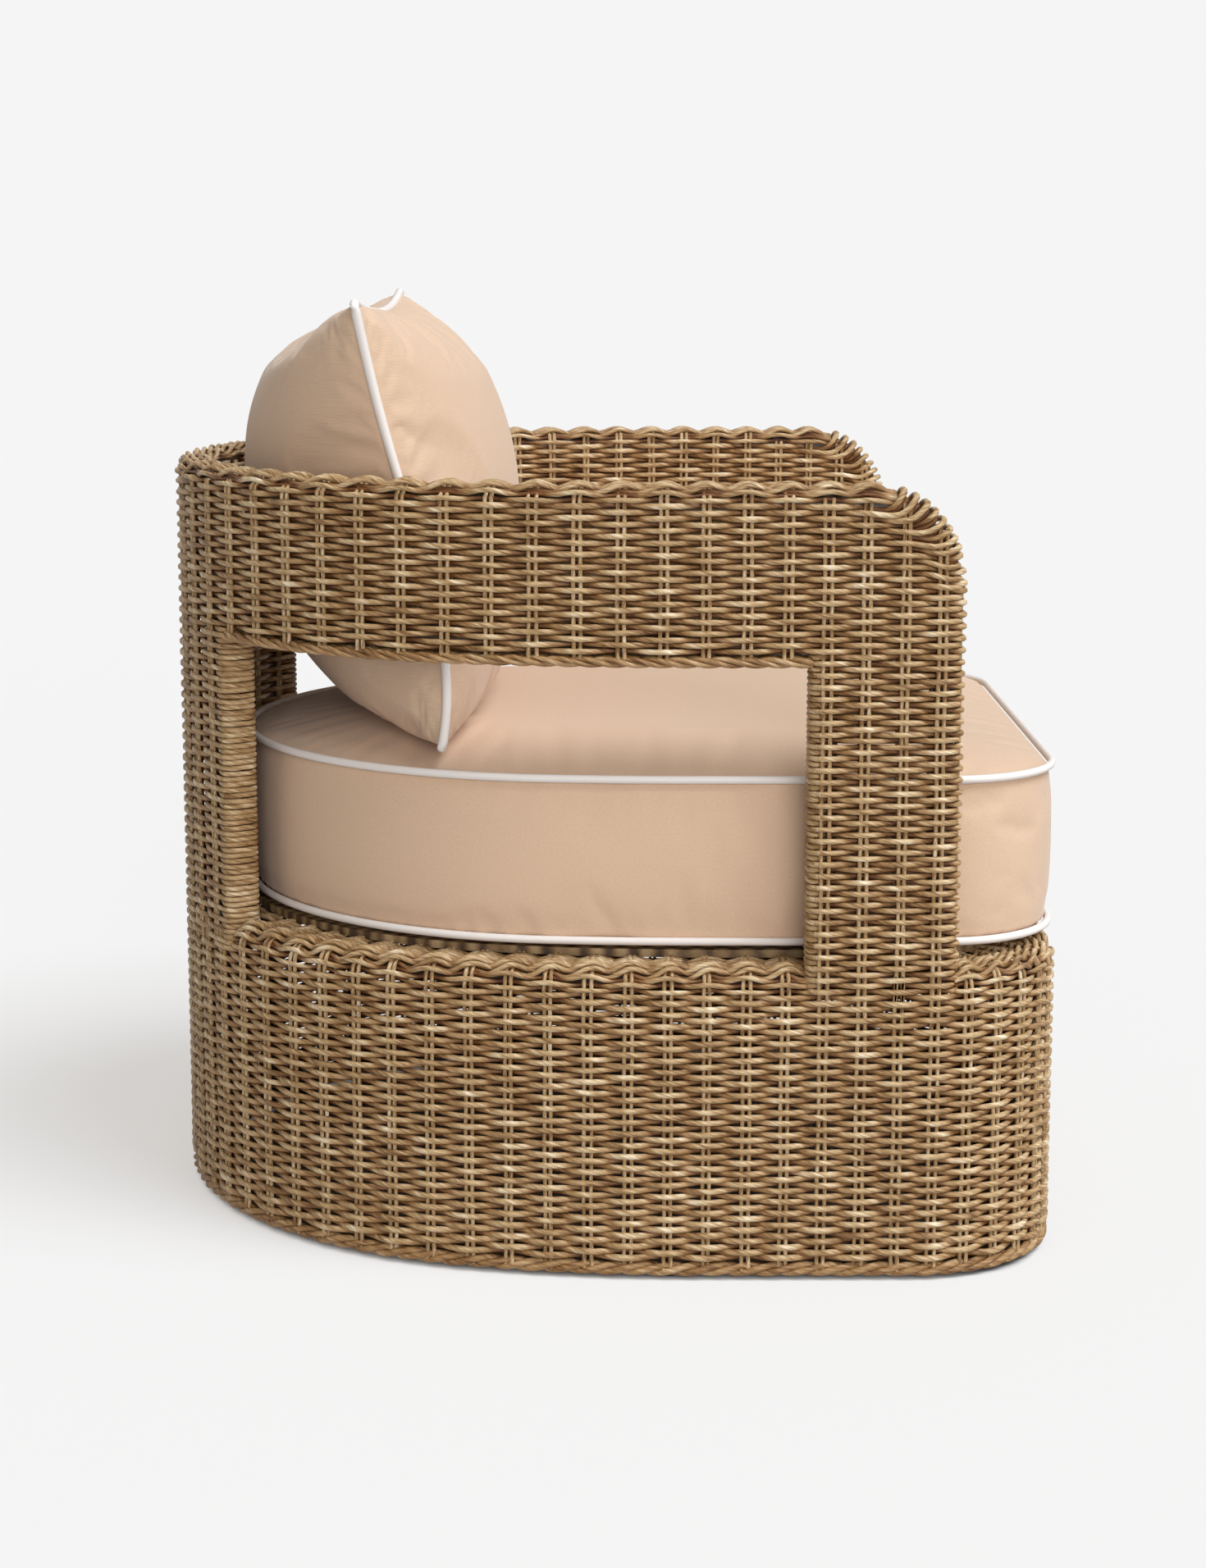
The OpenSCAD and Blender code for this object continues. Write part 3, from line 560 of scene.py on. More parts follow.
def base_rows():
    """Rows all round the base, split by height into meshes of a moderate size."""
    runs, index = mirrored(BASE_RUNS, BASE_INDEX)
    runs, index = runs[1:], index[1:]
    count = int(2 * SHELL.half_length / POINT_STEP)
    s = (np.arange(count) / count * 2 - 1) * SHELL.half_length
    keys = np.concatenate([[runs[-1] - 2 * SHELL.half_length], runs])
    numbers = np.concatenate([[index[-1]], index])
    for part in range(BASE_PARTS):
        strands = Strands()
        for row in range(part * BASE_ROWS // BASE_PARTS, (part + 1) * BASE_ROWS // BASE_PARTS):
            signs = np.where((numbers + row) % 2 == 0, 1.0, -1.0)
            weave = swing(s, keys, signs)
            inset = WEAVE_INSET - WEAVE_DEPTH * weave
            lift = uneven(s, row * 17 + 3) * np.clip((SHELL.half_length - np.abs(s)) / FRONT_CALM, 0, 1)
            beaten = BEATEN + FOOT_SWELL * max(0.0, 1 - row / FOOT_ROWS)
            line = wall(s, inset, row_height(row) + lift)
            strands.add(line, thickness_of(weave, beaten), closed=True, front=weave)
        strands.build(f"base_weave_{part}", WICKER, replaces=("base_weave",) if part == 0 else ())


def posts():
    stakes = [(run, number) for run, number in zip(BAND_RUNS, BAND_INDEX)
              if POST_REAR + STAKE_MARGIN < run < POST_FRONT - STAKE_MARGIN]
    edge_number = max(number for _, number in stakes) + 1
    for side, name in ((1, "right"), (-1, "left")):
        strands = Strands()
        wrap_rows(strands, side, POST_REAR, POST_FRONT, stakes, BASE_ROWS, WALL_ROWS, edge_number)
        strands.build(f"post_weave_strands_{name}", WICKER, replaces=(f"post_weave_{name}",))


def full_loop(half):
    """Closes a path built for the right half, from x = 0 outside to x = 0 inside, with its mirror image."""
    mirror = half[::-1][1:-1] * (-1, 1, 1)
    return np.concatenate([half, mirror])


def cubic(p0, p1, p2, p3, count):
    t = np.linspace(0, 1, count)[:, None]
    return (1 - t) ** 3 * p0 + 3 * (1 - t) ** 2 * t * p1 + 3 * (1 - t) * t ** 2 * p2 + t ** 3 * p3


# Rows fan out over the rounded end of the arm. From the lowest to the highest the angle at which they cross
# it grows to ARM_END_SWEEP, and up to ALTERNATE_TO they still alternate there, in front and behind.
ARM_END_SWEEP = math.radians(74)
ARM_END_LEAN = 0.82
ARM_END_SPREAD = 1.5
ALTERNATE_TO = math.radians(18)
ARM_END_BEND = 0.030
HIGH_BEND = 0.012
SWEEP_OUT = 0.42
SWEEP_IN = 0.38
SWEEP_STEP = 0.005
ARM_END_STAKE = 0.016
FAN_TOP = ARM_TOP - 0.019
EDGE_HALF = 0.003
CALM_REACH = 0.09
CALM_ENDS = 0.03

# Short strands tucked in between the rows, where painted shade makes them dark; on the arm's very end the
# strands swell and count as lying in front, so they are free of painted shade
TUCK_FROM = 0.020
TUCK_REACH = 0.050
TUCK_DEPTH = 0.95
TUCK_DIVE = 1.6
KNUCKLE = 2.6
KNUCKLE_REACH = 0.02


def band_line(z):
    """Middle line of one row of the arm band on the right half: along the outside, over the end of the arm
    and back along the inside.

    Returns its points in the wall's own plane (run and height), their insets, the outward direction of both,
    how many points lie on each face and in each corner, and the angle at which the line crosses the end."""
    climb = min(max((z - ARM_END_Z) / (FAN_TOP - ARM_END_Z), 0), 1)
    angle = ARM_END_SWEEP * climb ** ARM_END_SPREAD
    aim = np.array([math.cos(angle * ARM_END_LEAN), math.sin(angle * ARM_END_LEAN)])
    if angle == 0:
        edge = np.array([POST_FRONT - WEAVE_INSET - EDGE_CORNER, z])
    else:
        radial = np.array([math.cos(angle), math.sin(angle)])
        edge = np.array([ARM_END, ARM_END_Z]) + radial * (ARM_END_RADIUS - WEAVE_INSET - EDGE_CORNER)
    start = min(POST_FRONT - ARM_END_BEND, edge[0] - ARM_END_BEND - HIGH_BEND * math.sin(angle))
    run_to = np.arange(0, start, POINT_STEP)
    lead = np.stack([run_to, np.full(len(run_to), z)], -1)
    begin = np.array([start, z])
    reach = np.linalg.norm(edge - begin)
    sweep = cubic(begin, begin + (reach * SWEEP_OUT, 0), edge - aim * reach * SWEEP_IN, edge,
                  max(4, int(reach / SWEEP_STEP)))
    face = np.concatenate([lead, sweep])

    turn = np.linspace(0, math.pi / 2, 5)[1:]
    corner = edge + aim * (EDGE_CORNER * np.sin(turn))[:, None]
    corner_inset = WEAVE_INSET + EDGE_CORNER * (1 - np.cos(turn))
    middle = np.repeat(corner[-1][None], 2, 0)
    plane = np.concatenate([face, corner, middle, corner[::-1], face[::-1]])
    inset = np.concatenate([np.full(len(face), WEAVE_INSET), corner_inset,
                            [WALL / 2 - EDGE_HALF, WALL / 2 + EDGE_HALF],
                            WALL - corner_inset[::-1], np.full(len(face), WALL - WEAVE_INSET)])

    flat = np.zeros((len(face), 2))
    round_corner = aim * np.sin(turn)[:, None]
    out_plane = np.concatenate([flat, round_corner, [aim, aim], round_corner[::-1], flat])
    out_inset = np.concatenate([np.full(len(face), -1.0), -np.cos(turn), [0, 0], np.cos(turn)[::-1],
                                np.ones(len(face))])
    return plane, inset, out_plane, out_inset, len(face), len(corner), angle


def band_half(z, row, tucked=False):
    """Right half of one row of the arm band.

    A tucked strand is a short one that only goes round the end of the arm and slips in between the rows."""
    plane, inset, out_plane, out_inset, face_count, corner_count, angle = band_line(z)
    step = np.linalg.norm(np.diff(np.column_stack([plane, inset]), axis=0), axis=1)
    place = np.concatenate([[0], np.cumsum(step)])
    total = place[-1]
    end_place = place[face_count + corner_count] + EDGE_HALF
    from_end = np.abs(place - end_place)

    cut = POST_FRONT if angle == 0 else ARM_END + ARM_END_RADIUS * math.cos(angle)
    passed = [(run, number) for run, number in zip(BAND_RUNS, BAND_INDEX) if run < cut - ARM_END_STAKE]
    keys = [np.interp(run, plane[:face_count, 0], place[:face_count]) for run, _ in passed]
    signs = [(-1) ** ((number + row) % 2) for _, number in passed]
    end_sign = (-1) ** ((passed[-1][1] + 1 + row) % 2) if angle < ALTERNATE_TO else 1
    keys = keys + [end_place] + [total - key for key in keys[::-1]]
    signs = signs + [end_sign] + signs[::-1]
    weave = swing(place, np.array(keys), np.array(signs, float))
    if tucked:
        weave = -TUCK_DEPTH - TUCK_DIVE * np.clip((from_end - TUCK_REACH * 0.5) / (TUCK_REACH * 0.5), 0, 1)

    offset = WEAVE_DEPTH * weave
    lift = uneven(from_end, row * 13 + 5) * np.clip(from_end / CALM_REACH, 0, 1)
    lift *= np.clip(np.minimum(place, total - place) / CALM_ENDS, 0, 1)
    run, height = (plane + out_plane * offset[:, None]).T
    path = wall(run, inset + out_inset * offset, height + lift)
    if tucked:
        near = from_end < TUCK_REACH
        return path[near], weave[near]
    return path, weave + KNUCKLE * np.clip(1 - from_end / KNUCKLE_REACH, 0, 1)


def band():
    """Rows of the arm band, every other one in each of two meshes."""
    covers = (("band_outer_weave", "arm_end_wrap_left"), ("band_inner_weave", "arm_end_wrap_right"))
    for part in range(2):
        strands = Strands()
        for row in range(WALL_ROWS + 1 + part, BAND_LAST + 1, 2):
            half, weave = band_half(row_height(row), row)
            weave = np.concatenate([weave, weave[::-1][1:-1]])
            thickness = thickness_of(weave)
            strands.add(full_loop(half), thickness, closed=True, front=weave)
            if row_height(row) > ARM_END_Z + TUCK_FROM:
                short, weave = band_half(row_height(row) - ROW_PITCH / 2, row, tucked=True)
                for side in (-1, 1):
                    strands.add(short * (side, 1, 1), STRAND_R, front=weave)
        strands.build(f"band_weave_{part}", WICKER, replaces=covers[part])


def back_wall():
    strands = Strands()
    stakes = [(run, number) for run, number in zip(*mirrored(BAND_RUNS, BAND_INDEX))
              if abs(run) < BACK_EDGE - STAKE_MARGIN]
    wrap_rows(strands, 1, -BACK_EDGE, BACK_EDGE, stakes, BASE_ROWS, WALL_ROWS)
    strands.build("back_wall_strands", WICKER, replaces=("back_wall_weave",))


# ---------------------------------------------------------------- borders, ropes and their stakes

class Section:
    """Cross-section of a border: up the outer face, round a shoulder, across the top, and where it is
    two-sided down the inner face.

    place(v) gives the inset, height and outward normal at a distance v along it; v is 0 at the shoulder."""

    def __init__(self, face, shoulder, top, width, two_sided):
        self.face, self.shoulder, self.top, self.two_sided = face, shoulder, top, two_sided
        self.arc = shoulder * math.pi / 2
        self.flat = width - shoulder * (2 if two_sided else 1)
        self.shoulder_foot = top - shoulder

    def place(self, v):
        v = np.asarray(v, float)
        angle = np.clip(v / self.shoulder, 0, math.pi / 2)
        level = np.clip(v - self.arc, 0, self.flat)
        inset = self.face + self.shoulder * (1 - np.cos(angle)) + level
        z = self.top - self.shoulder * (1 - np.sin(angle)) + np.minimum(v, 0)
        normal_inset, normal_z = -np.cos(angle), np.sin(angle)
        if self.two_sided:
            down = v - self.arc - self.flat
            angle = np.clip(down / self.shoulder, 0, math.pi / 2)
            inset = inset + self.shoulder * np.sin(angle)
            z = z - self.shoulder * (1 - np.cos(angle)) - np.maximum(down - self.arc, 0)
            normal_inset = np.where(down > 0, np.sin(angle), normal_inset)
            normal_z = np.where(down > 0, np.cos(angle), normal_z)
        return inset, z, normal_inset, normal_z


FACE = 0.0046
BORDER_TOP = 0.0062
ARM_SECTION = Section(FACE, 0.008, ARM_TOP - BORDER_TOP, WALL - 2 * FACE, two_sided=True)
BASE_SECTION = Section(FACE, 0.0172, BASE_TOP - BORDER_TOP, RIM_WIDTH - FACE, two_sided=False)
BORDER_POINT_STEP = 0.0045
BORDER_R = 0.0021
BORDER_SPREAD = 0.05
BORDER_DEPTH = 0.0026
END_DIP = 0.0025
END_DIP_REACH = 0.008


def turns_at(s, runs):
    """Number of stakes passed at each run, with the part of the way to the next one."""
    cell = np.clip(np.searchsorted(runs, s, side="right") - 1, 0, len(runs) - 2)
    return cell + (s - runs[cell]) / (runs[cell + 1] - runs[cell])


def border_strand(strands, section, v, s, front, hump, closed, fall, radius=BORDER_R):
    """One strand of a border along runs s, outside the stakes where front is 1, inside where it is -1."""
    inset, z, normal_inset, normal_z = section.place(v)
    depth = BORDER_DEPTH * front
    if not closed:
        from_ends = np.minimum(s - s[0], s[-1] - s)
        depth = depth - END_DIP * (1 - np.clip(from_ends / END_DIP_REACH, 0, 1))
    path = wall(s, inset + normal_inset * depth, z + normal_z * depth + hump - fall(s))
    thickness = radius * (1 + SWELL * front + BORDER_SPREAD * rng.normal())
    strands.add(path, thickness, closed=closed, front=front)


def border_runs(ends, closed=False):
    return np.linspace(*ends, max(8, int((ends[1] - ends[0]) / BORDER_POINT_STEP)), endpoint=not closed)


def no_fall(s):
    return 0.0 * s


HUMP_WAVE, HUMP_SPREAD = 0.02, 0.25
HUMP_TILT = 0.12
RANDED_FLATNESS, RANDED_DEPTH = 1.25, 1.2


def twined_row(strands, section, v, runs, ends, scallop, slant, fall, closed=False, radius=BORDER_R):
    """Two strands that change places at each stake: one passes in front, the other behind."""
    s = border_runs(ends, closed)
    turn = turns_at(s, runs)
    for twin in (0, 1):
        phase = math.pi * (turn - twin)
        front = np.cos(phase)
        hump = scallop * (np.cos(2 * phase) * 0.5 + HUMP_TILT * front)
        hump *= 1 + HUMP_SPREAD * wobble(s, HUMP_WAVE, int(v * 1e5))
        border_strand(strands, section, v - slant * np.sin(phase), s, front, hump, closed, fall, radius)


def randed_row(strands, section, v, runs, ends, scallop, first, fall=no_fall):
    """A single strand in front of every other stake, rising a little over the stakes."""
    s = border_runs(ends)
    phase = math.pi * (turns_at(s, runs) + first)
    hump = scallop * 0.5 * np.cos(2 * phase) + uneven(s, first * 23 + int(section.top * 1e4))
    front = np.clip(RANDED_FLATNESS * np.cos(phase), -1, 1) * RANDED_DEPTH
    border_strand(strands, section, v, s, front, hump, False, fall)


def stake_over(strands, section, run, side, v_end, foot):
    """One stake pair going up the outer face and over the border."""
    for rod in (-1, 1):
        low = foot - section.shoulder_foot
        v = np.concatenate([np.linspace(low, 0, max(3, int(-low / 0.03))), np.linspace(0, v_end, 12)[1:]])
        inset, z, _, _ = section.place(v)
        spread = STAKE_GAP / 2 * (1 - 0.25 * np.clip(v / 0.04, 0, 1))
        s = side * run + rod * spread + rng.normal() * STAKE_STRAY
        s = s + OVER_BOW * np.sin(z * OVER_WAVE + rng.random() * 6)
        out = wall(side * run, 0, 0) - wall(side * run, 0.01, 0)
        along = np.cross(out, (0, 0, 1))
        strands.add(wall(s, inset, z), STAKE_R, up=along / np.linalg.norm(along), sides=STAKE_SIDES,
                    front=STAKE_SHADE_FRONT)


ARM_BORDER_END = 0.023
ARM_BORDER_STEP = 0.0064
ARM_SCALLOP = 0.0023
ARM_SLANT = 0.0028
ARM_RANDED = ((1, 0.0007), (2, 0.0018))


def arm_fall(s):
    """How far the arm's top has come down, past the place where its end starts to round over."""
    past = np.clip(np.abs(s) - ARM_END, 0, ARM_END_RADIUS)
    return ARM_END_RADIUS - np.sqrt(ARM_END_RADIUS ** 2 - past ** 2)


def arm_border():
    strands = Strands()
    runs, index = mirrored(BAND_RUNS, BAND_INDEX)
    middle = ARM_SECTION.arc + ARM_SECTION.flat / 2
    end = ARM_END + ARM_BORDER_END
    for i in (-1.5, -0.5, 0.5, 1.5):
        v = middle + i * ARM_BORDER_STEP
        twined_row(strands, ARM_SECTION, v, runs, (-end, end), ARM_SCALLOP, ARM_SLANT, arm_fall)
    for count, scallop in ARM_RANDED:
        row = BAND_LAST + count
        v = row_height(row) - ARM_SECTION.shoulder_foot
        for place in (v, 2 * middle - v):
            randed_row(strands, ARM_SECTION, place, runs, (-end, end), scallop, int(index[0]) + row, arm_fall)
    strands.build("arm_border", BRAID, replaces=("arm_top_braid",))


STAKE_FOOT = BASE_TOP - 0.004
ARM_STAKE_TOP = 0.012
STAKE_OVERLAP = 0.010
BAND_STAKE_FOOT = BAND_FOOT - 0.004


def arm_stakes():
    """Stakes of the walls and the arm band: over the arm's top, or up to its rounded end."""
    strands = Strands()
    length = 2 * ARM_SECTION.arc + ARM_SECTION.flat
    for side in (-1, 1):
        for run in BAND_RUNS:
            if side < 0 and run < CLOSE:
                continue
            on_wall = run < BACK_EDGE - STAKE_OVERLAP or run > POST_REAR + STAKE_OVERLAP
            foot = SHOULDER_Z - STAKE_OVERLAP if on_wall else BAND_STAKE_FOOT
            if run <= ARM_END + CLOSE:
                down = ARM_SECTION.shoulder_foot - (STAKE_FOOT if on_wall else BAND_FOOT)
                stake_over(strands, ARM_SECTION, run, side, length + down, foot)
            else:
                top = ARM_END_Z + math.sqrt(ARM_END_RADIUS ** 2 - (run - ARM_END) ** 2) - ARM_STAKE_TOP
                add_stake(strands, side * run, FACE, foot, top)
                add_stake(strands, side * run, WALL - FACE, STAKE_FOOT, top)
        front_edge = side * (POST_FRONT - WEAVE_INSET)
        add_stake(strands, front_edge, WALL / 2, BASE_TOP - STAKE_OVERLAP, ARM_END_Z)
    strands.build("arm_stakes", WICKER)


# Rim of the base: randed rows under its shoulder, then twined rows that get flatter inwards and sink a little
RIM_RANDED = 3
RIM_RANDED_SCALLOP = 0.0010
RIM_FIRST_STEP = 0.0062
RIM_STEP = 0.0072
RIM_SINK = 0.0035
RIM_SINK_REACH = 0.012
RIM_SCALLOP = 0.0042
RIM_SLANT = 0.0034
RIM_FLATTEST = 0.15
RIM_FLATTEN_FROM = 0.012
RIM_FLATTEN_REACH = 0.034
RIM_MARGIN = 0.002
RIM_PAST_WALL = 0.003

# How far rows, ropes and stakes reach under or into the walls they end at
ROWS_UNDER_WALL = 0.006
INTO_WALL = 0.004
BASE_STAKE_FOOT = WEAVE_FOOT + 0.004
BASE_STAKE_TOP = SHOULDER_Z + 0.012


def base_border():
    strands = Strands()
    runs, index = mirrored(BASE_RUNS, BASE_INDEX)
    length = SHELL.half_length
    around = np.concatenate([runs, [runs[1] + 2 * length]])
    front = (POST_FRONT - ROWS_UNDER_WALL, 2 * length - POST_FRONT + ROWS_UNDER_WALL)
    side = (BACK_EDGE - ROWS_UNDER_WALL, POST_REAR + ROWS_UNDER_WALL)
    between_walls = [(front, around), (side, runs), ((-side[1], -side[0]), runs)]
    for count in range(RIM_RANDED):
        row = BASE_ROWS + count
        v = row_height(row) - BASE_SECTION.shoulder_foot
        for ends, keys in between_walls:
            scallop = RIM_RANDED_SCALLOP * (count + 0.5)
            randed_row(strands, BASE_SECTION, v, keys, ends, scallop, int(index[0]) + row)
    v += RIM_FIRST_STEP
    while v < BASE_SECTION.arc + BASE_SECTION.flat - RIM_MARGIN:
        scallop = RIM_SCALLOP * max(RIM_FLATTEST, 1 - (v - RIM_FLATTEN_FROM) / RIM_FLATTEN_REACH)
        sink = RIM_SINK * np.clip((v - BASE_SECTION.arc) / RIM_SINK_REACH, 0, 1)
        inside_walls = float(BASE_SECTION.place(v)[0]) >= WALL + RIM_PAST_WALL
        stretches = [((around[0], around[0] + 2 * length), around)] if inside_walls else between_walls
        for ends, keys in stretches:
            twined_row(strands, BASE_SECTION, v, keys, ends, scallop, RIM_SLANT, lambda s: sink,
                       closed=inside_walls, radius=STRAND_R)
        v += RIM_STEP
    base_stakes(strands)
    strands.build("base_border", BRAID, replaces=("base_rim_braid",))


def base_stakes(strands):
    """Stakes of the base: over its rim, or under the walls only up to its shoulder."""
    for side in (-1, 1):
        for run in BASE_RUNS:
            if side < 0 and (run < CLOSE or run > SHELL.half_length - 1e-3):
                continue
            if run < BACK_EDGE - INTO_WALL or POST_REAR + INTO_WALL < run < POST_FRONT - INTO_WALL:
                add_stake(strands, side * run, FACE, BASE_STAKE_FOOT, BASE_STAKE_TOP)
            else:
                end = BASE_SECTION.arc + BASE_SECTION.flat
                stake_over(strands, BASE_SECTION, run, side, end, BASE_STAKE_FOOT)


# Ropes: number of strands, their distance from the rope's middle, their radius and the length of a turn
FOOT_ROPE = (3, 0.0030, 0.0033, 0.070)
FOOT_ROPE_INSET = 0.0064
FOOT_ROPE_MIDDLE = WEAVE_FOOT + 0.0068
FOOT_ROPE_STRETCH = 1.15
WINDOW_ROPE = (3, 0.0027, 0.0024, 0.060)
WINDOW_ROPE_MIDDLE = WINDOW_TOP + 0.0016
WINDOW_ROPES = 4


def rope(strands, path_of, ends, kind, closed=False):
    """Strands twisted round a path; path_of(s, away, up) gives points that far from its middle."""
    strand_count, twist_radius, strand_r, pitch = kind
    length = ends[1] - ends[0]
    s = border_runs(ends, closed)
    if closed:
        pitch = length / round(length / pitch)
    for i in range(strand_count):
        angle = -2 * math.pi * (s - ends[0]) / pitch + i * 2 * math.pi / strand_count
        path = path_of(s, twist_radius * np.cos(angle), twist_radius * np.sin(angle))
        strands.add(path, strand_r * (1 + BORDER_SPREAD * rng.normal()), closed=closed)


def foot_rope():
    strands = Strands()
    length = SHELL.half_length

    def path_of(s, away, up):
        return wall(s, FOOT_ROPE_INSET - away, FOOT_ROPE_MIDDLE + FOOT_ROPE_STRETCH * up)

    rope(strands, path_of, (-length, length), FOOT_ROPE, closed=True)
    strands.build("foot_rope", BRAID, replaces=("foot_rope_border",))


def window_ropes():
    for side, name in ((1, "right"), (-1, "left")):
        strands = Strands()
        for inset in np.linspace(FACE, WALL - FACE, WINDOW_ROPES):
            rope(strands, lambda s, away, up: wall(side * s, inset - away, WINDOW_ROPE_MIDDLE + up),
                 (BACK_EDGE - INTO_WALL, POST_REAR + INTO_WALL), WINDOW_ROPE)
        strands.build(f"window_rope_strands_{name}", BRAID, replaces=(f"window_rope_{name}",))


# ---------------------------------------------------------------- cushions

CANVAS_PITCH = 0.0026
CANVAS_DOTS = 0.20
CANVAS_SHADES = [(0.20, (0.625, 0.432, 0.295)), (0.85, (0.700, 0.492, 0.342))]
PIPING_SHADES = [(0.3, (0.760, 0.690, 0.640)), (0.7, (0.850, 0.790, 0.750))]


def canvas_material():
    """Plain outdoor canvas in sand, with the small dots of its weave."""
    material, tree, shader = material_base("canvas", 0.85)
    flat = attribute_of(tree, "cloth")
    waves = [math_of(tree, "SINE", math_of(tree, "MULTIPLY", way, 2 * math.pi / CANVAS_PITCH))
             for way in split_vector(tree, flat)[:2]]
    slubs = noise_of(tree, flat, 2.0, 0.6, 420.0)
    height = math_of(tree, "MULTIPLY_ADD", math_of(tree, "MULTIPLY", *waves), CANVAS_DOTS, slubs)
    tree.links.new(ramp_of(tree, height, CANVAS_SHADES), shader.inputs["Base Color"])
    raise_surface(tree, shader, height, 0.2, 0.0003)
    shader.inputs["Specular IOR Level"].default_value = 0.2
    shader.inputs["Sheen Weight"].default_value = 0.2
    shader.inputs["Sheen Roughness"].default_value = 0.5
    return material


def piping_material():
    material, tree, shader = material_base("piping", 0.8)
    noise = noise_of(tree, attribute_of(tree, "strand"), 2.0, 0.5, 300.0)
    tree.links.new(ramp_of(tree, noise, PIPING_SHADES), shader.inputs["Base Color"])
    shader.inputs["Specular IOR Level"].default_value = 0.2
    return material


CANVAS = canvas_material()
PIPING = piping_material()


def mesh_object(name, points, faces):
    mesh = bpy.data.meshes.new(name)
    mesh.from_pydata([tuple(point) for point in points], [], faces)
    return put_in_scene(name, mesh)


def rings_to_mesh(name, rings, bottom, top):
    """Closed surface through rings of equal length, with a point in the middle of each end."""
    count = len(rings[0])
    points = [bottom] + [p for ring in rings for p in ring] + [top]
    faces = []
    last = len(points) - 1
    for i in range(count):
        j = (i + 1) % count
        faces.append((0, 1 + j, 1 + i))
        for k in range(len(rings) - 1):
            a = 1 + k * count
            faces.append((a + i, a + j, a + count + j, a + count + i))
        a = 1 + (len(rings) - 1) * count
        faces.append((a + i, a + j, last))
    return mesh_object(name, points, faces)


def apply_modifiers(piece):
    graph = bpy.context.evaluated_depsgraph_get()
    mesh = bpy.data.meshes.new_from_object(piece.evaluated_get(graph))
    old = piece.data
    piece.modifiers.clear()
    piece.data = mesh
    bpy.data.meshes.remove(old)


def remesh(piece, voxel):
    """Turns the piece's surface into an even grid of small faces."""
    remesher = piece.modifiers.new("remesh", "REMESH")
    remesher.mode = "VOXEL"
    remesher.voxel_size = voxel
    apply_modifiers(piece)


def subdivide(piece):
    smooth = piece.modifiers.new("smooth", "SUBSURF")
    smooth.levels = smooth.render_levels = 1
    apply_modifiers(piece)
    mesh = piece.data
    mesh.polygons.foreach_set("use_smooth", np.ones(len(mesh.polygons), bool))


def coordinates(mesh):
    flat = np.zeros(len(mesh.vertices) * 3)
    mesh.vertices.foreach_get("co", flat)
    return flat.reshape(-1, 3)


def set_coordinates(mesh, points):
    mesh.vertices.foreach_set("co", points.ravel())
    mesh.update()


def averaged(mesh, values, free, rounds):
    """Values at the points of a mesh, evened out with their neighbours where free is 1."""
    edges = np.zeros(len(mesh.edges) * 2, int)
    mesh.edges.foreach_get("vertices", edges)
    start, end = edges.reshape(-1, 2).T
    share = np.bincount(edges, minlength=len(values))[:, None]
    for _ in range(rounds):
        total = np.stack([np.bincount(start, values[end, axis], len(values))
                          + np.bincount(end, values[start, axis], len(values)) for axis in range(3)], -1)
        values = values + (total / share - values) * 0.5 * free
    return values


def relax(piece, held, rounds):
    """Evens out the steps that a voxel grid leaves, away from the seams."""
    set_coordinates(piece.data, averaged(piece.data, coordinates(piece.data), 1 - held[:, None], rounds))


PUFF_FRAMES = 16
CREASE_ROUNDS = 60


def puff(piece, held, pressure, cap, slack, drift):
    """Inflates a cover with Blender's cloth, held along its seams. Its creases are kept, and of its slow
    drift away from the modelled form only the given part."""
    group = piece.vertex_groups.new(name="held")
    for weight in (1.0, 0.5):
        chosen = np.nonzero((held > weight - 0.25) & (held <= weight + 0.25))[0]
        group.add([int(i) for i in chosen], weight, "REPLACE")
    before = coordinates(piece.data)
    cloth = piece.modifiers.new("cloth", "CLOTH")
    settings = cloth.settings
    settings.quality = 5
    settings.mass = 0.3
    settings.tension_stiffness = settings.compression_stiffness = 15
    settings.shear_stiffness = 8
    settings.bending_stiffness = 0.8
    settings.use_pressure = True
    settings.uniform_pressure_force = pressure
    settings.shrink_min = -slack
    settings.vertex_group_mass = "held"
    settings.pin_stiffness = 1
    settings.effector_weights.gravity = 0
    cloth.collision_settings.use_collision = False
    cloth.point_cache.frame_start, cloth.point_cache.frame_end = 1, PUFF_FRAMES
    for step in range(1, PUFF_FRAMES + 1):
        bpy.context.scene.frame_set(step)
    graph = bpy.context.evaluated_depsgraph_get()
    after = coordinates(piece.evaluated_get(graph).data)
    piece.modifiers.clear()
    move = after - before
    move -= (1 - drift) * averaged(piece.data, move, 1.0, CREASE_ROUNDS)
    move *= 1 - held[:, None]
    length = np.linalg.norm(move, axis=1)[:, None] + 1e-12
    set_coordinates(piece.data, before + move * np.minimum(1, cap / length))
    bpy.context.scene.frame_set(1)
    piece.vertex_groups.clear()


BLOCK = 2000


def nearest_on(line, points):
    """For each point the number of the nearest point of a line, and its distance."""
    numbers, gaps = [], []
    for start in range(0, len(points), BLOCK):
        gap = ((points[start:start + BLOCK, None] - line) ** 2).sum(-1)
        numbers.append(gap.argmin(1))
        gaps.append(gap.min(1))
    return np.concatenate(numbers), np.sqrt(np.concatenate(gaps))


def near_line(points, line, reach):
    """1 on points close to a line of points, falling to 0 a little past the given reach."""
    return np.clip(1.6 - nearest_on(line, points)[1] / reach, 0, 1)


def lay_cloth(piece, flat):
    """Stores the weave's own coordinates on a cover."""
    cloth = piece.data.attributes.new("cloth", "FLOAT_VECTOR", "POINT")
    cloth.data.foreach_set("vector", np.column_stack([flat, np.zeros(len(flat))]).astype(np.float32).ravel())


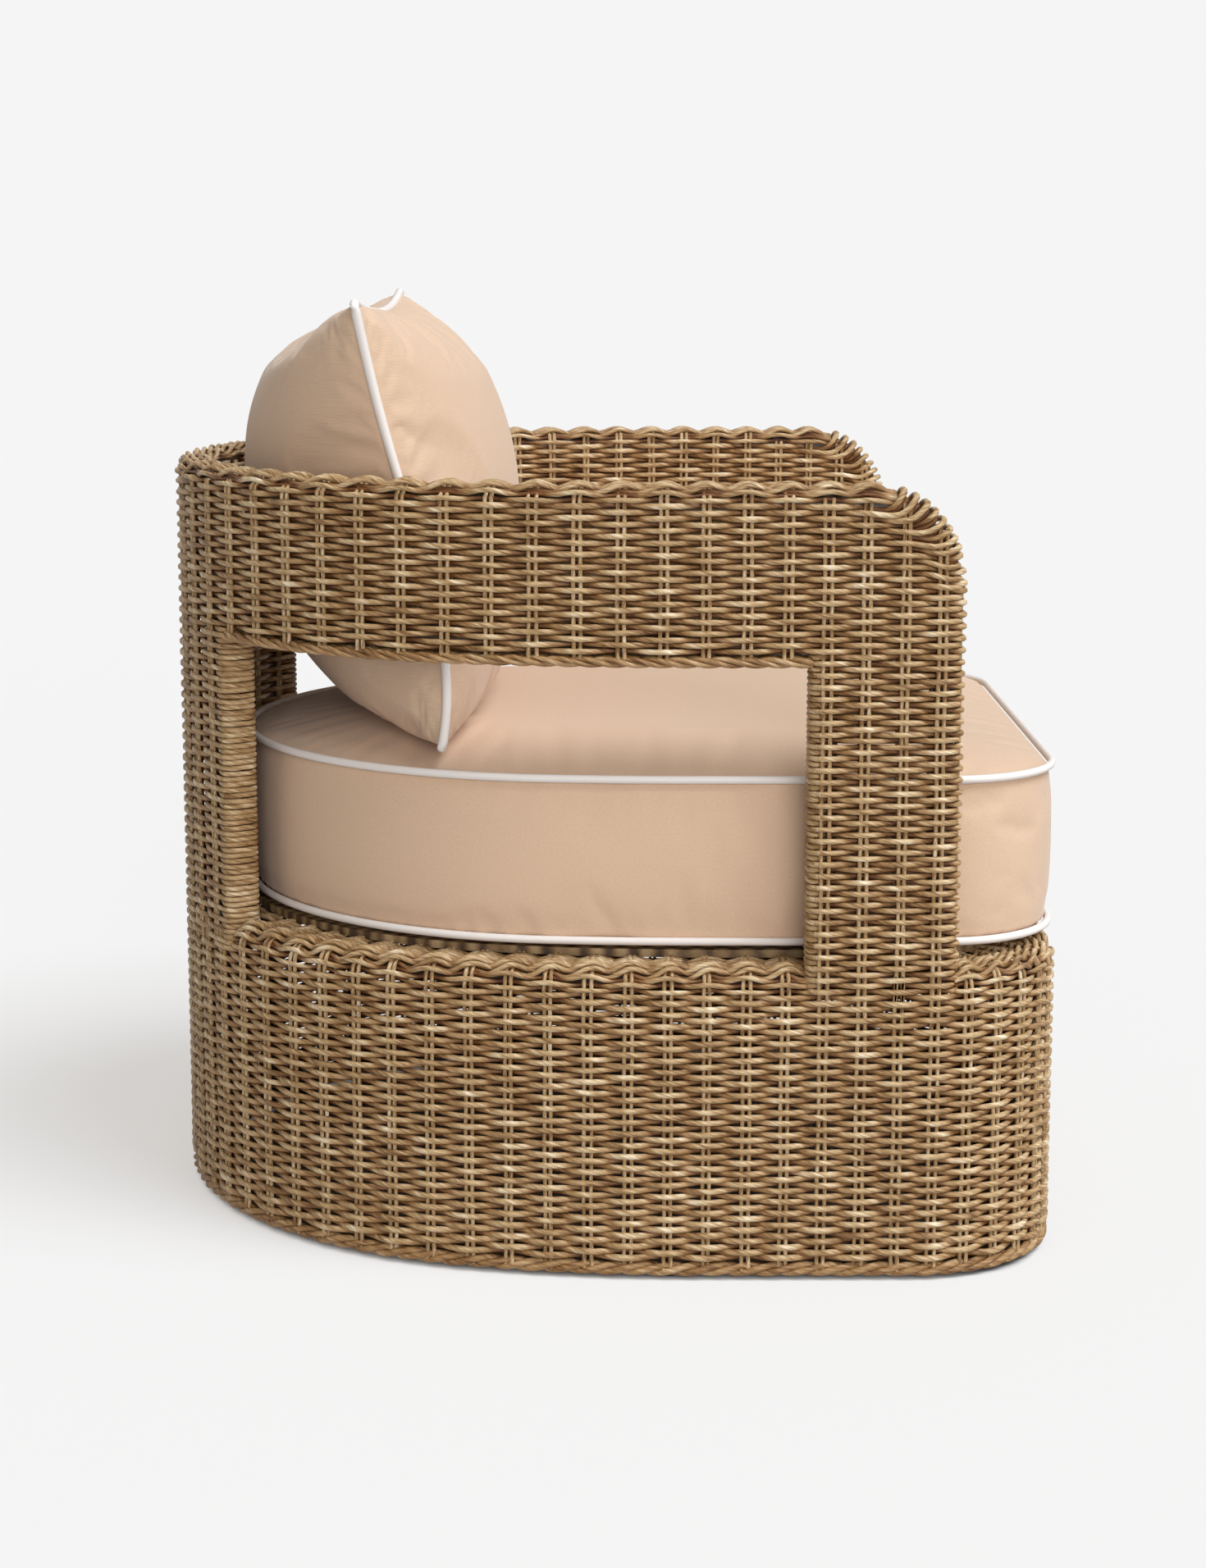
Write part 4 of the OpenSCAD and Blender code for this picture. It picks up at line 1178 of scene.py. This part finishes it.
def rounded_line(line, step, rounds):
    """A closed line at even steps, with its corners rounded off."""
    closed = np.concatenate([line, line[:1]])
    along = np.concatenate([[0], np.cumsum(np.linalg.norm(np.diff(closed, axis=0), axis=1))])
    count = int(along[-1] / step)
    places = np.arange(count) * along[-1] / count
    line = np.stack([np.interp(places, along, closed[:, axis]) for axis in range(3)], -1)
    for _ in range(rounds):
        line = (np.roll(line, 1, 0) + 2 * line + np.roll(line, -1, 0)) / 4
    return line


def piping(name, line, radius, body, replaces):
    strands = Strands()
    strands.add(line, radius, closed=True, sides=PIPING_SIDES)
    return strands.build(name, PIPING, body=body, replaces=replaces)


PIPING_R = 0.0036
PIPING_POINTS = 300
PIPING_SIDES = 10
PIPE_LOW, PIPE_HIGH = node_box("seat_piping_top")
SEAM_TOP = (PIPE_LOW[2] + PIPE_HIGH[2]) / 2
SEAM_FOOT = float(np.mean([corner[2] for corner in node_box("seat_piping_bottom")]))
CUSHION_TOP = node_box("seat_cover_top")[1][2] + 0.001
CUSHION_FOOT = node_box("seat_cover_bottom")[0][2] + 0.001
CUSHION_SIDE_RADIUS = 1.200
CUSHION_CORNER_RADIUS = 0.108
CUSHION = Plan(PIPE_HIGH[0] - PIPING_R, PIPE_HIGH[1] - PIPING_R, -HALF_DEPTH + STRAIGHT_DEPTH,
               CUSHION_SIDE_RADIUS, PIPE_LOW[1] + PIPING_R, CUSHION_CORNER_RADIUS)
COVER_INSET = PIPING_R * 0.7
CROWN_RINGS = np.array([0.12, 0.3, 0.5, 0.66, 0.78, 0.86, 0.92, 0.96, 0.985, 1.0])
CROWN_POWER = 10
CROWN_DOME = 0.004
BOXING_BULGE = 0.0035
BOXING_FULLNESS = 0.7
BOXING_RINGS = 12
CUSHION_POINTS = 240
CUSHION_VOXEL = 0.0065
CUSHION_HOLD = 0.007


def runs_round(plan, count):
    return (np.arange(count) / count * 2 - 1) * plan.half_length


def at_height(flat, z):
    return np.hstack([flat, np.full((len(flat), 1), z)])


def cushion_cover():
    """Closed cover of the seat cushion: a flat foot, a slightly bulging boxing and a low domed crown."""
    run = runs_round(CUSHION, CUSHION_POINTS)
    seam = CUSHION.at(run, COVER_INSET)
    middle = np.array([0, (CUSHION.back + CUSHION.front) / 2])

    def ring(edge_z, rise, dome, share):
        z = edge_z + rise * (1 - share ** CROWN_POWER) + dome * (1 - share ** 2)
        return at_height(middle + (seam - middle) * share, z)

    rings = [ring(SEAM_FOOT, CUSHION_FOOT - SEAM_FOOT, 0, share) for share in CROWN_RINGS]
    for up in np.linspace(0, 1, BOXING_RINGS + 2)[1:-1]:
        bulge = BOXING_BULGE * math.sin(math.pi * up) ** BOXING_FULLNESS
        rings.append(at_height(CUSHION.at(run, COVER_INSET - bulge), SEAM_FOOT + (SEAM_TOP - SEAM_FOOT) * up))
    crown = [ring(SEAM_TOP, CUSHION_TOP - SEAM_TOP, CROWN_DOME, share) for share in CROWN_RINGS[::-1]]
    return rings_to_mesh("seat_cushion_cover", rings + crown, (*middle, CUSHION_FOOT),
                         (*middle, CUSHION_TOP + CROWN_DOME))


def seat_cushion():
    cover_piece = cushion_cover()
    remesh(cover_piece, CUSHION_VOXEL)
    run = runs_round(CUSHION, 3 * PIPING_POINTS)
    seam = CUSHION.at(run)
    lines = [at_height(seam, z) for z in (SEAM_TOP, SEAM_FOOT)]
    held = near_line(coordinates(cover_piece.data), np.concatenate(lines), CUSHION_HOLD)
    relax(cover_piece, held, 12)
    held = np.maximum(held, (coordinates(cover_piece.data)[:, 2] < SEAM_FOOT).astype(float))
    puff(cover_piece, held, pressure=1.5, cap=0.006, slack=0.004, drift=0.6)
    subdivide(cover_piece)
    points = coordinates(cover_piece.data)
    on_side = (points[:, 2] > SEAM_FOOT) & (points[:, 2] < SEAM_TOP)
    nearest = run[nearest_on(seam, points[:, :2])[0]]
    flat = np.where(on_side[:, None], np.column_stack([nearest, points[:, 2]]), points[:, :2])
    lay_cloth(cover_piece, flat)
    cover_piece.data.materials.append(CANVAS)
    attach(cover_piece, "seat_cushion")
    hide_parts("seat_cover_top", "seat_cover_bottom", "seat_boxing", "seat_foam")
    piping("seat_piping_upper", lines[0][::3], PIPING_R, "seat_cushion", ("seat_piping_top",))
    piping("seat_piping_lower", lines[1][::3], PIPING_R, "seat_cushion", ("seat_piping_bottom",))


PILLOW_HALF_WIDTH = 0.297
PILLOW_HEIGHT = 0.394
PILLOW_LEAN = math.radians(10.4)
PILLOW_SEAT_Y = 0.142
PILLOW_PIPING_R = 0.0042
PILLOW_FOOT = node_box("pillow_piping")[0][2] + PILLOW_PIPING_R
SIDE_DRAW = 0.030
TOP_DRAW = 0.015
SEAM_BOW = 0.0103
PILLOW_VOXEL = 0.005
PILLOW_HOLD = 0.006
PILLOW_CLOTH_DRAW = 0.8
# Of each panel: how far its middle stands in front of the seam, how slowly it swells from the sides, the
# top and the foot, and how much fuller it is high up.
PANEL_FRONT = (0.095, 0.60, 0.514, 0.392, 0.208)
PANEL_BACK = (-0.161, 0.70, 0.303, 0.364, 0.027)
NO_PANEL = (0.0, 0.5, 0.5, 0.5, 0.0)


def pillow_point(across, up, panel):
    """Points of the pillow: across and up run from -1 to 1 over a panel."""
    bulge, soft_sides, soft_top, soft_foot, high = panel
    soft_ends = np.where(up > 0, soft_top, soft_foot)
    swell = np.maximum(1 - across ** 2, 0) ** soft_sides * np.maximum(1 - up ** 2, 0) ** soft_ends
    x = across * (PILLOW_HALF_WIDTH - SIDE_DRAW * (1 - up ** 2))
    depth = bulge * swell * (1 + high * up) + SEAM_BOW * (1 - up ** 2) * (1 - up) ** 2 * (1 - swell)
    height = (up + 1) * PILLOW_HEIGHT / 2 - TOP_DRAW * (1 + up) / 2 * (1 - across ** 2)
    y = PILLOW_SEAT_Y + height * math.sin(PILLOW_LEAN) - depth * math.cos(PILLOW_LEAN)
    z = PILLOW_FOOT + height * math.cos(PILLOW_LEAN) + depth * math.sin(PILLOW_LEAN)
    return np.stack(np.broadcast_arrays(x, y, z), -1)


def edge_to_edge(count):
    """Places from -1 to 1, closer together towards both ends."""
    return np.sin(np.linspace(-1, 1, count) * math.pi / 2)


def pillow_seam():
    side = edge_to_edge(60)[:-1]
    ones = np.ones(len(side))
    across = np.concatenate([side, ones, -side, -ones])
    up = np.concatenate([-ones, side, ones, -side])
    return pillow_point(across, up, NO_PANEL)


def pillow_cover():
    """Front and back panel of the pillow, meeting along its seam."""
    columns, rows = 60, 42
    across, up = np.meshgrid(edge_to_edge(columns + 1), edge_to_edge(rows + 1), indexing="ij")
    points = [pillow_point(across, up, panel).reshape(-1, 3) for panel in (PANEL_FRONT, PANEL_BACK)]
    faces = []
    offset = len(points[0])
    for i in range(columns):
        for j in range(rows):
            a = i * (rows + 1) + j
            b = a + rows + 1
            faces.append((a, b, b + 1, a + 1))
            faces.append((offset + a, offset + a + 1, offset + b + 1, offset + b))
    piece = mesh_object("pillow_cover", np.concatenate(points), faces)
    weld = piece.modifiers.new("weld", "WELD")
    weld.merge_threshold = 1e-5
    return piece


def lumbar_pillow():
    cover_piece = pillow_cover()
    remesh(cover_piece, PILLOW_VOXEL)
    seam = pillow_seam()
    held = near_line(coordinates(cover_piece.data), seam, PILLOW_HOLD)
    relax(cover_piece, held, 8)
    puff(cover_piece, held, pressure=2.6, cap=0.012, slack=0.02, drift=0.15)
    subdivide(cover_piece)
    x, y, z = coordinates(cover_piece.data).T
    depth = np.abs((y - PILLOW_SEAT_Y) * math.cos(PILLOW_LEAN) - (z - PILLOW_FOOT) * math.sin(PILLOW_LEAN))
    lay_cloth(cover_piece, np.column_stack([x + np.sign(x) * depth * PILLOW_CLOTH_DRAW, z]))
    cover_piece.data.materials.append(CANVAS)
    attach(cover_piece, "lumbar_pillow")
    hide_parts("pillow_insert", "pillow_front_panel", "pillow_back_panel")
    piping("pillow_piping_cord", rounded_line(seam, 0.004, 3), PILLOW_PIPING_R, "lumbar_pillow",
           ("pillow_piping",))


# ---------------------------------------------------------------- frame, glides and deck

def plain_material(name, color, roughness, grain):
    """Painted or moulded surface with a fine uneven grain."""
    material, tree, shader = material_base(name, roughness)
    noise = noise_of(tree, object_place(tree), 3.0, 0.6, grain)
    shades = [(0.3, tuple(value * 0.8 for value in color)), (0.7, color)]
    tree.links.new(ramp_of(tree, noise, shades), shader.inputs["Base Color"])
    raise_surface(tree, shader, noise, 0.15, 0.0003)
    return material


DECK_PITCH = 0.011
# Colours by the weave's height: near black in its low places, painted shade between strands; noise gives
# uneven tone
DECK_TONES_AND_SHADE = [(0.05, (0.060, 0.030, 0.012)), (0.35, (0.260, 0.160, 0.070)), (0.62, (0.420, 0.290, 0.150))]


def deck_material():
    """Deck under the cushion: flat weave in both directions, near black in its low places as painted shade.
    """
    material, tree, shader = material_base("deck_weave", 0.6)
    place = object_place(tree)
    waves = [math_of(tree, "SINE", math_of(tree, "MULTIPLY", way, math.pi / DECK_PITCH))
             for way in split_vector(tree, place)[:2]]
    height = math_of(tree, "MULTIPLY_ADD", math_of(tree, "MULTIPLY", *waves), 0.35,
                     math_of(tree, "MULTIPLY", noise_of(tree, place, 3.0, 0.6, 90.0), 0.6))
    tree.links.new(ramp_of(tree, height, DECK_TONES_AND_SHADE), shader.inputs["Base Color"])
    raise_surface(tree, shader, height, 0.8, 0.0015)
    return material


TUBES = ("floor_hoop", "seat_hoop", "base_uprights", "deck_bars", "arm_tube", "window_tube", "wall_uprights")


def dress_cad():
    coat = plain_material("frame_coat", (0.045, 0.028, 0.016), 0.45, 900.0)
    nylon = plain_material("glide_nylon", (0.020, 0.018, 0.016), 0.5, 500.0)
    finishes = {"seat_deck": deck_material(), "glides_left": nylon, "glides_right": nylon}
    finishes.update((name, coat) for name in TUBES)
    for name, finish in finishes.items():
        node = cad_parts[name]
        node.data.materials.clear()
        node.data.materials.append(finish)


base_rows()
posts()
back_wall()
band()
arm_border()
arm_stakes()
base_border()
foot_rope()
window_ropes()
seat_cushion()
lumbar_pillow()
dress_cad()


# ---------------------------------------------------------------- floor, light and camera

# Camera on the -X side, fitted to the photo
CAMERA_DISTANCE = 2.887
CAMERA_HEIGHT = 0.900
CAMERA_PITCH = math.radians(10.36)
CAMERA_LENS = 68.63
SENSOR_WIDTH = 36

# Lamps: name, strength, angle in degrees over which the light is spread, where it comes from, and tint
LAMPS = (("key", 2.8, 34, Vector((-0.29, -0.45, 0.84)), (0.93, 1.0, 1.08)),
         ("fill", 1.62, 38, Vector((-0.96, -0.18, 0.20)), (1.0, 1.0, 1.0)))
SKY_STRENGTH = 0.27
SKY_TINT = (1.05, 1.0, 0.91)

# Floor and backdrop, both the white of the paper; the floor's glow lights the chair only a little
PAPER = 0.9131
FLOOR_REACH = 30
FLOOR_ALBEDO = 0.34
FLOOR_BOUNCE = 0.25
# Painted shade on the floor: its glow fades near the chair by ambient occlusion and is cut out under the base
FLOOR_CONTACT = 0.35
CONTACT_SHADE = ((0, 0), (0.2, 0.65), (0.4, 0.97), (0.8, 1))
UNDER_BASE_SHADE_EDGE = ((0.84, 0), (0.98, 1))
BACK_ROUNDNESS = 2.1
FRONT_ROUNDNESS = 6.0


def seen_directly(tree):
    """1 for rays that come from the camera, a mirror or glass, 0 for the ones that carry light."""
    path = tree.nodes.new("ShaderNodeLightPath").outputs
    mirrored_or_through = math_of(tree, "MAXIMUM", path["Is Glossy Ray"], path["Is Transmission Ray"])
    return math_of(tree, "MAXIMUM", path["Is Camera Ray"], mirrored_or_through)


def painted_shade_under_base(tree):
    """Painted shade of the floor's glow: 0 under the base, 1 outside it; round behind the straight sides,
    squarer in front.
    """
    x, y, _ = split_vector(tree, object_place(tree))
    across = math_of(tree, "ABSOLUTE", math_of(tree, "DIVIDE", x, HALF_WIDTH))
    along = math_of(tree, "SUBTRACT", y, STRAIGHT_DEPTH - HALF_DEPTH)
    halves = []
    ends = ((2 * HALF_DEPTH - STRAIGHT_DEPTH, BACK_ROUNDNESS), (-STRAIGHT_DEPTH, FRONT_ROUNDNESS))
    for reach, power in ends:
        far = math_of(tree, "MAXIMUM", math_of(tree, "DIVIDE", along, reach), 0.0)
        halves.append(math_of(tree, "ADD", *(math_of(tree, "POWER", part, power) for part in (across, far))))
    return ramp_of(tree, math_of(tree, "MAXIMUM", *halves), grey(UNDER_BASE_SHADE_EDGE))


def light_on_floor():
    """What the sky and the lamps put on the open floor, in each colour; its glow makes up the rest."""
    shares = [(strength * towards.normalized().z / math.pi, tint) for _, strength, _, towards, tint in LAMPS]
    return [SKY_STRENGTH * SKY_TINT[i] + sum(share * tint[i] for share, tint in shares) for i in range(3)]


def paper_floor():
    """Floor that looks as white as the paper behind it. Its lit part takes real soft, light shadows; its glow
    carries painted shade, fading near the chair by ambient occlusion and cut out under the base.
    """
    mesh = bpy.data.meshes.new("floor")
    corners = [(x * FLOOR_REACH, y * FLOOR_REACH, 0) for x, y in ((-1, -1), (1, -1), (1, 1), (-1, 1))]
    mesh.from_pydata(corners, [], [(0, 1, 2, 3)])
    floor = put_in_scene("floor", mesh)
    material, tree, shader = material_base("paper", 0.9)
    shader.inputs["Base Color"].default_value = (FLOOR_ALBEDO, FLOOR_ALBEDO, FLOOR_ALBEDO, 1)
    shader.inputs["Specular IOR Level"].default_value = 0
    glow = (PAPER - FLOOR_ALBEDO * value for value in light_on_floor())
    shader.inputs["Emission Color"].default_value = (*glow, 1)
    contact = node_of(tree, "ShaderNodeAmbientOcclusion", samples=8, Distance=FLOOR_CONTACT)
    open_to_sky = ramp_of(tree, contact.outputs["AO"], grey(CONTACT_SHADE))
    painted_shade_glow = math_of(tree, "MULTIPLY", open_to_sky, painted_shade_under_base(tree))
    bounce = math_of(tree, "MULTIPLY_ADD", seen_directly(tree), 1 - FLOOR_BOUNCE, FLOOR_BOUNCE)
    tree.links.new(math_of(tree, "MULTIPLY", painted_shade_glow, bounce), shader.inputs["Emission Strength"])
    mesh.materials.append(material)


def sky():
    world = bpy.data.worlds.new("studio")
    bpy.context.scene.world = world
    world.use_nodes = True
    tree = world.node_tree
    background = tree.nodes["Background"]
    shade = node_of(tree, "ShaderNodeMix", data_type="RGBA")
    tree.links.new(seen_directly(tree), shade.inputs["Factor"])
    shade.inputs["A"].default_value = (*(SKY_STRENGTH * value for value in SKY_TINT), 1)
    shade.inputs["B"].default_value = (PAPER, PAPER, PAPER, 1)
    tree.links.new(shade.outputs["Result"], background.inputs["Color"])
    background.inputs["Strength"].default_value = 1


def lamps():
    for name, strength, angle, towards, tint in LAMPS:
        lamp = bpy.data.lights.new(name, "SUN")
        lamp.energy = strength
        lamp.color = tint
        lamp.angle = math.radians(angle)
        put_in_scene(name, lamp).rotation_euler = towards.to_track_quat("Z", "Y").to_euler()


def camera():
    data = bpy.data.cameras.new("camera")
    data.lens = CAMERA_LENS
    data.sensor_width = SENSOR_WIDTH
    eye = put_in_scene("camera", data)
    eye.location = (-CAMERA_DISTANCE, 0, CAMERA_HEIGHT)
    eye.rotation_euler = (math.pi / 2 - CAMERA_PITCH, 0, -math.pi / 2)
    bpy.context.scene.camera = eye


paper_floor()
sky()
lamps()
camera()
bpy.context.scene.view_settings.view_transform = "Standard"
